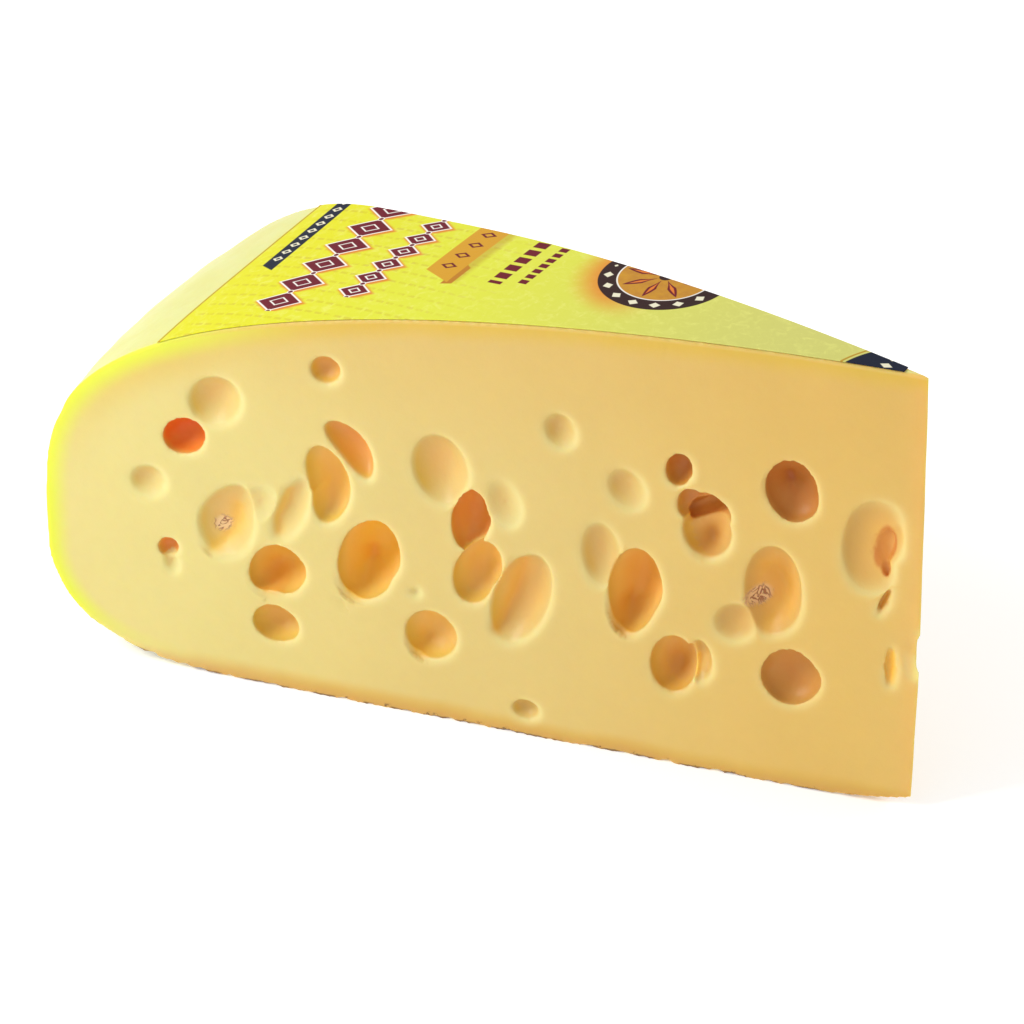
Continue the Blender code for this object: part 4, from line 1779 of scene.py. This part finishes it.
@dataclass(frozen=True)
class PaperFinish:
    """The printed paper: a yellow ground with a generic design."""

    slice: Slice
    reach: float
    skew: float
    ground_near_heel: Colour = paint(216, 212, 26)
    ground_middle: Colour = paint(212, 216, 62)
    ground_near_tip: Colour = paint(200, 198, 110)
    ground_pale: Colour = paint(228, 228, 128)
    edge_line: Colour = paint(178, 136, 34)
    navy: Colour = paint(10, 20, 44)
    cream: Colour = paint(226, 220, 196)
    maroon: Colour = paint(104, 12, 32)
    white: Colour = paint(236, 232, 228)
    shade_red: Colour = paint(212, 88, 40)
    ribbon: Colour = paint(204, 150, 38)
    ribbon_fold: Colour = paint(180, 118, 32)
    brown: Colour = paint(48, 24, 22)
    tan: Colour = paint(170, 112, 46)
    warm: Colour = paint(216, 120, 42)
    large_row: Row = Row(0.0405, -0.0610, 0.0165, 0.0076, 0.0105)
    small_row: Row = Row(0.0690, -0.0455, 0.0120, 0.0055, 0.0070)
    medal_inland: float = 0.1855
    medal_side: float = 0.0145
    medal_radius: float = 0.0280

    def material(self) -> bpy.types.Material:
        """The paper's material.

        Returns:
            The new material.
        """
        graph = Graph("label_paper")
        x, y, _, place = graph.place()
        reach = self.slice.axis_x - x
        inland = self.reach - (reach * math.cos(self.skew) + y * math.sin(self.skew))
        side = y * math.cos(self.skew) - reach * math.sin(self.skew)
        fibre = graph.noise(place, 0.0042, detail=5.0, roughness=0.62, distortion=0.8)
        cloud = graph.noise(place, 0.030, detail=2.0)
        coat = Coat(graph, self.ground_near_heel)
        coat.lay(inland.rise(0.0, 0.12), self.ground_middle)
        coat.lay(inland.rise(0.09, 0.27), self.ground_near_tip)
        coat.lay(fibre.rise(0.45, 0.80) * 0.5, self.ground_pale)
        where = LabelField(inland, side, fibre, place)
        self.lay_faint_rows(coat, where)
        coat.lay(inland.band(0.0003, 0.0012), self.edge_line)
        self.lay_bar(coat, where)
        for row in (self.large_row, self.small_row):
            self.lay_lozenges(coat, where, row)
        self.lay_folded_ribbon(coat, where)
        self.lay_dashes(coat, where)
        self.lay_medal(coat, where)
        self.lay_tip_cap(coat, where)
        coat.lay(0.05 + cloud * 0.05, self.ground_pale, Blend.STAIN)
        return graph.finish(
            {
                "Base Color": coat.tone,
                "Roughness": 0.5,
                "Specular IOR Level": 0.15,
                "Normal": graph.bump(fibre, 0.00012),
            }
        )

    def lozenge(self, across: Wire, tall: Wire, half_wide: float, half_tall: float) -> Wire:
        """The distance outside a lozenge, less than 0 inside it."""
        share = across.size() / half_wide + tall.size() / half_tall
        return (share - 1) * (half_wide * half_tall / math.hypot(half_wide, half_tall))

    def lay_faint_rows(self, coat: Coat, where: LabelField) -> None:
        """Lays faint golden rows of dashes along the ground near the outer edge."""
        line = where.slanted(0.10).repeated(0.0, 0.0082).size().rise(0.0011, 0.0005)
        dash = where.inland.repeated(0.0, 0.0052).size().rise(0.0021, 0.0016)
        fade = where.inland.rise(0.150, 0.080) * where.inland.rise(0.004, 0.010)
        coat.lay(line * dash * fade * where.fibre.rise(0.30, 0.60) * 0.32, self.edge_line)

    def lay_bar(self, coat: Coat, where: LabelField) -> None:
        """Lays the dark bar with its row of pale lozenges.

        Args:
            coat: The colour that takes it.
            where: The point on the label.
        """
        body = where.inland.band(0.0098, 0.0176) * where.slanted(0.6).after(-0.0153, 0.0003)
        coat.lay(body, self.navy)
        across = where.side.repeated(0.0, 0.0062)
        started = where.side.after(-0.0188)
        for half_wide, half_tall, colour in (
            (0.0021, 0.0026, self.cream),
            (0.0010, 0.0013, self.navy),
        ):
            mark = self.lozenge(across, where.inland - 0.0137, half_wide, half_tall)
            coat.lay(mark.before(0.0) * started, colour)

    def lay_lozenges(self, coat: Coat, where: LabelField, row: Row) -> None:
        """Lays a row of dark red lozenges with a white outline and a warm shade.

        Args:
            coat: The colour that takes it.
            where: The point on the label.
            row: The sizes of the row.
        """
        started = where.side.after(row.start)
        across = where.side.repeated(row.start, row.pitch)
        tall = where.inland - row.inland
        cast = self.lozenge(across + 0.0009, tall - 0.0012, row.half_wide, row.half_tall)
        coat.lay(cast.rise(0.0022, 0.0004) * started * 0.75, self.shade_red)
        shape = self.lozenge(across, tall, row.half_wide, row.half_tall)
        core = row.half_wide * -0.46
        for edge, colour in (
            (0.0006, self.white),
            (-0.0001, self.maroon),
            (core + 0.0002, self.white),
            (core - 0.0004, self.maroon),
        ):
            coat.lay(shape.before(edge) * started, colour)
        link = where.side.repeated(row.start + row.pitch / 2, row.pitch)
        spot = (link * link + tall * tall).root()
        coat.lay(spot.before(0.0015) * started, self.white)
        coat.lay(spot.before(0.00105, 0.00015) * started, self.maroon)

    def lay_folded_ribbon(self, coat: Coat, where: LabelField) -> None:
        """Lays the orange ribbon with its folded end and its shadow.

        Args:
            coat: The colour that takes it.
            where: The point on the label.
        """
        inland = where.inland
        shadow = inland.band(0.0930, 0.1075, 0.0022) * where.slanted(0.5).rise(0.0290, 0.0330)
        coat.lay(shadow * 0.45, self.tan)
        tail = inland.band(0.1015, 0.1062) * where.slanted(-0.3).after(-0.0557, 0.0003)
        coat.lay(tail * where.slanted(0.8).rise(0.0760, 0.0750), self.ribbon_fold)
        body = inland.band(0.0885, 0.1035) * where.slanted(0.5).after(0.0285, 0.0003)
        coat.lay(body, self.ribbon)
        mark = self.lozenge(where.side.repeated(-0.0150, 0.0098), inland - 0.0960, 0.0026, 0.0040)
        ring = mark.before(0.0) * mark.after(-0.0010)
        coat.lay(ring * where.side.after(-0.0150), self.maroon)

    def lay_dashes(self, coat: Coat, where: LabelField) -> None:
        """Lays two rows of small dark red dashes.

        Args:
            coat: The colour that takes them.
            where: The point on the label.
        """
        for pitch, half, low, high, start in (
            (0.0072, 0.00245, 0.1200, 0.1262, -0.0180),
            (0.0050, 0.00165, 0.1322, 0.1362, -0.0150),
        ):
            dash = where.side.repeated(0.0, pitch).size().before(half, 0.00015)
            coat.lay(dash * where.inland.band(low, high) * where.side.after(start), self.maroon)

    def lay_medal(self, coat: Coat, where: LabelField) -> None:
        """Lays the round medal: a brown ring with dots round a tan rosette.

        Args:
            coat: The colour that takes it.
            where: The point on the label.
        """
        graph = coat.graph
        tall = where.inland - self.medal_inland
        across = where.side - self.medal_side
        radius = (tall * tall + across * across).root()
        angle = graph.maths("ARCTAN2", across, tall)
        halo = radius.rise(self.medal_radius + 0.014, self.medal_radius - 0.002)
        coat.lay(halo * tall.rise(0.012, -0.018) * 0.85, self.warm)
        coat.lay(radius.before(self.medal_radius - 0.0002), self.brown)
        ring_way = graph.maths("WRAP", angle, 0.20, -0.20)
        ring_apart = radius - (self.medal_radius - 0.0041)
        dot = self.lozenge(ring_way * self.medal_radius, ring_apart, 0.0028, 0.0021)
        coat.lay(dot.before(0.0), self.cream)
        inner = self.medal_radius - 0.0082
        coat.lay(radius.before(inner + 0.0004), self.white)
        wood = graph.blend(graph.noise(where.place, 0.004, detail=3.0), self.tan, self.ribbon)
        coat.lay(radius.before(inner - 0.0002), wood)
        petal_way = graph.maths("WRAP", angle, math.pi / 8, -math.pi / 8) * 0.0125
        for half_wide, half_tall, colour in (
            (0.0022, 0.0078, self.maroon),
            (0.0009, 0.0050, self.warm),
        ):
            petal = self.lozenge(petal_way, radius - 0.0105, half_wide, half_tall)
            coat.lay(petal.before(0.0), colour)
        coat.lay(radius.before(0.0028), self.brown)

    def lay_tip_cap(self, coat: Coat, where: LabelField) -> None:
        """Lays the dark field at the tip, with its golden edge.

        Args:
            coat: The colour that takes it.
            where: The point on the label.
        """
        apart_in = where.inland - 0.3265
        apart_side = where.side + 0.0190
        radius = (apart_in * apart_in + apart_side * apart_side).root()
        coat.lay(radius.band(0.0440, 0.0450, 0.0003), self.edge_line)
        coat.lay(radius.before(0.0429, 0.0003), self.navy)
        mark = self.lozenge(where.side.repeated(0.0, 0.0058), where.inland - 0.3000, 0.0018, 0.0028)
        coat.lay(mark.before(0.0), self.cream)


@dataclass
class TopLabel:
    """The paper label on the crown, trimmed with the cut edges."""

    slice: Slice
    gap: float = 0.0003
    thickness: float = 0.0004
    edge_inset: float = 0.0006
    tip_cut: float = 0.013
    reach: float = 0.321
    skew: float = math.radians(4.15)
    crown_steps: int = 90
    turn_steps: int = 36

    def build(self) -> bpy.types.Object:
        """Makes the label.

        Returns:
            The finished object, riding on the frame in place of its node.
        """
        bm = bmesh.new()
        axis_x = self.slice.axis_x
        points = self.slice.wheel.crown_outline(self.crown_steps)
        verts = [bm.verts.new((axis_x - radius, 0, up)) for radius, up in points]
        edges = [bm.edges.new(pair) for pair in zip(verts, verts[1:])]
        self.slice.spin(bm, [*edges, *verts], self.turn_steps)
        self.slice.swell(bm)
        reach_way = Vector((-math.cos(self.skew), math.sin(self.skew), 0))
        trims = [
            (self.slice.at(side, 0, 0, self.edge_inset), -self.slice.inward(side))
            for side in Side
        ]
        trims.append((self.slice.axis_foot - Vector((self.tip_cut, 0, 0)), Vector((1, 0, 0))))
        trims.append((self.slice.axis_foot + reach_way * self.reach, reach_way))
        for point, outward in trims:
            bmesh.ops.bisect_plane(
                bm,
                geom=[*bm.verts, *bm.edges, *bm.faces],
                plane_co=point,
                plane_no=outward,
                clear_outer=True,
            )
        bmesh.ops.translate(bm, verts=bm.verts, vec=(0, 0, self.gap))
        top = bmesh.ops.extrude_face_region(bm, geom=list(bm.faces))["geom"]
        top_verts = [item for item in top if isinstance(item, bmesh.types.BMVert)]
        bmesh.ops.translate(bm, verts=top_verts, vec=(0, 0, self.thickness))
        bmesh.ops.recalc_face_normals(bm, faces=bm.faces)
        label = add_mesh("paper_label", bm)
        label.data.shade_smooth()
        label.data.set_sharp_from_angle(angle=math.radians(40))
        label.data.materials.append(PaperFinish(self.slice, self.reach, self.skew).material())
        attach(label, "root")
        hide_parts(LABEL_NODE)
        return label


@dataclass
class Studio:
    """The pale floor, the soft light and the camera.

    Each of the lights has a name, a place, the length of its sides and its watts.
    """

    slice: Slice
    camera_from_axis: tuple[float, float, float] = (1.083157, -2.260336, 1.745106)
    camera_tilt: float = math.radians(57.404)
    camera_turn: float = math.radians(29.432)
    lens: float = 261.171
    sensor_width: float = 36
    floor_size: float = 12.0
    world_light: float = 0.66
    floor_light: float = 0.24
    light_aim: tuple[float, float, float] = (0, 0, 0.1)
    lights: tuple[tuple[str, tuple[float, float, float], float, float], ...] = (
        ("key", (-0.95, -0.95, 1.05), 0.7, 19),
        ("back", (0.5, 1.2, 1.6), 1.2, 8),
    )

    def build(self) -> None:
        """Makes the floor, the lights and the camera."""
        self.add_floor()
        self.add_world()
        for name, place, size, power in self.lights:
            self.add_light(name, Vector(place), size, power)
        self.add_camera()

    def add_floor(self) -> None:
        """The plain pale floor."""
        bm = bmesh.new()
        bmesh.ops.create_grid(bm, x_segments=1, y_segments=1, size=self.floor_size / 2)
        floor = add_mesh("floor", bm)
        floor.data.materials.append(
            Graph("floor_white").finish(
                {
                    "Base Color": (0.95, 0.95, 0.95, 1.0),
                    "Roughness": 0.9,
                    "Emission Color": (1.0, 1.0, 1.0, 1.0),
                    "Emission Strength": self.floor_light,
                }
            )
        )

    def add_world(self) -> None:
        """Even white light from all round."""
        world = bpy.data.worlds.new("studio")
        world.use_nodes = True
        background = world.node_tree.nodes["Background"]
        background.inputs["Color"].default_value = (1.0, 1.0, 1.0, 1.0)
        background.inputs["Strength"].default_value = self.world_light
        bpy.context.scene.world = world
        bpy.context.scene.view_settings.view_transform = "Standard"

    def add_light(self, name: str, place: Vector, size: float, power: float) -> None:
        """Adds a square soft light.

        Args:
            name: The light's name.
            place: Where it hangs.
            size: The length of its sides.
            power: Its power in watts.
        """
        lamp = bpy.data.lights.new(name, "AREA")
        lamp.size = size
        lamp.energy = power
        holder = add_object(name, lamp)
        holder.location = place
        way = Vector(self.light_aim) - place
        holder.rotation_euler = way.to_track_quat("-Z", "Y").to_euler()

    def add_camera(self) -> None:
        """The camera, where the picture was taken from."""
        lens = bpy.data.cameras.new("camera")
        lens.lens = self.lens
        lens.sensor_width = self.sensor_width
        camera = add_object("camera", lens)
        camera.location = self.slice.axis_foot + Vector(self.camera_from_axis)
        camera.rotation_euler = (self.camera_tilt, 0, self.camera_turn)
        bpy.context.scene.camera = camera


def main() -> None:
    """Builds the piece, its label and the studio."""
    logging.basicConfig(level=logging.INFO, format="%(name)s: %(message)s")
    cut = Slice()
    Studio(cut).build()
    for builder in (CheeseBody(cut), TopLabel(cut)):
        piece = builder.build()
        log.info("%s has %d faces", piece.name, len(piece.data.polygons))


if __name__ == "__main__":
    main()
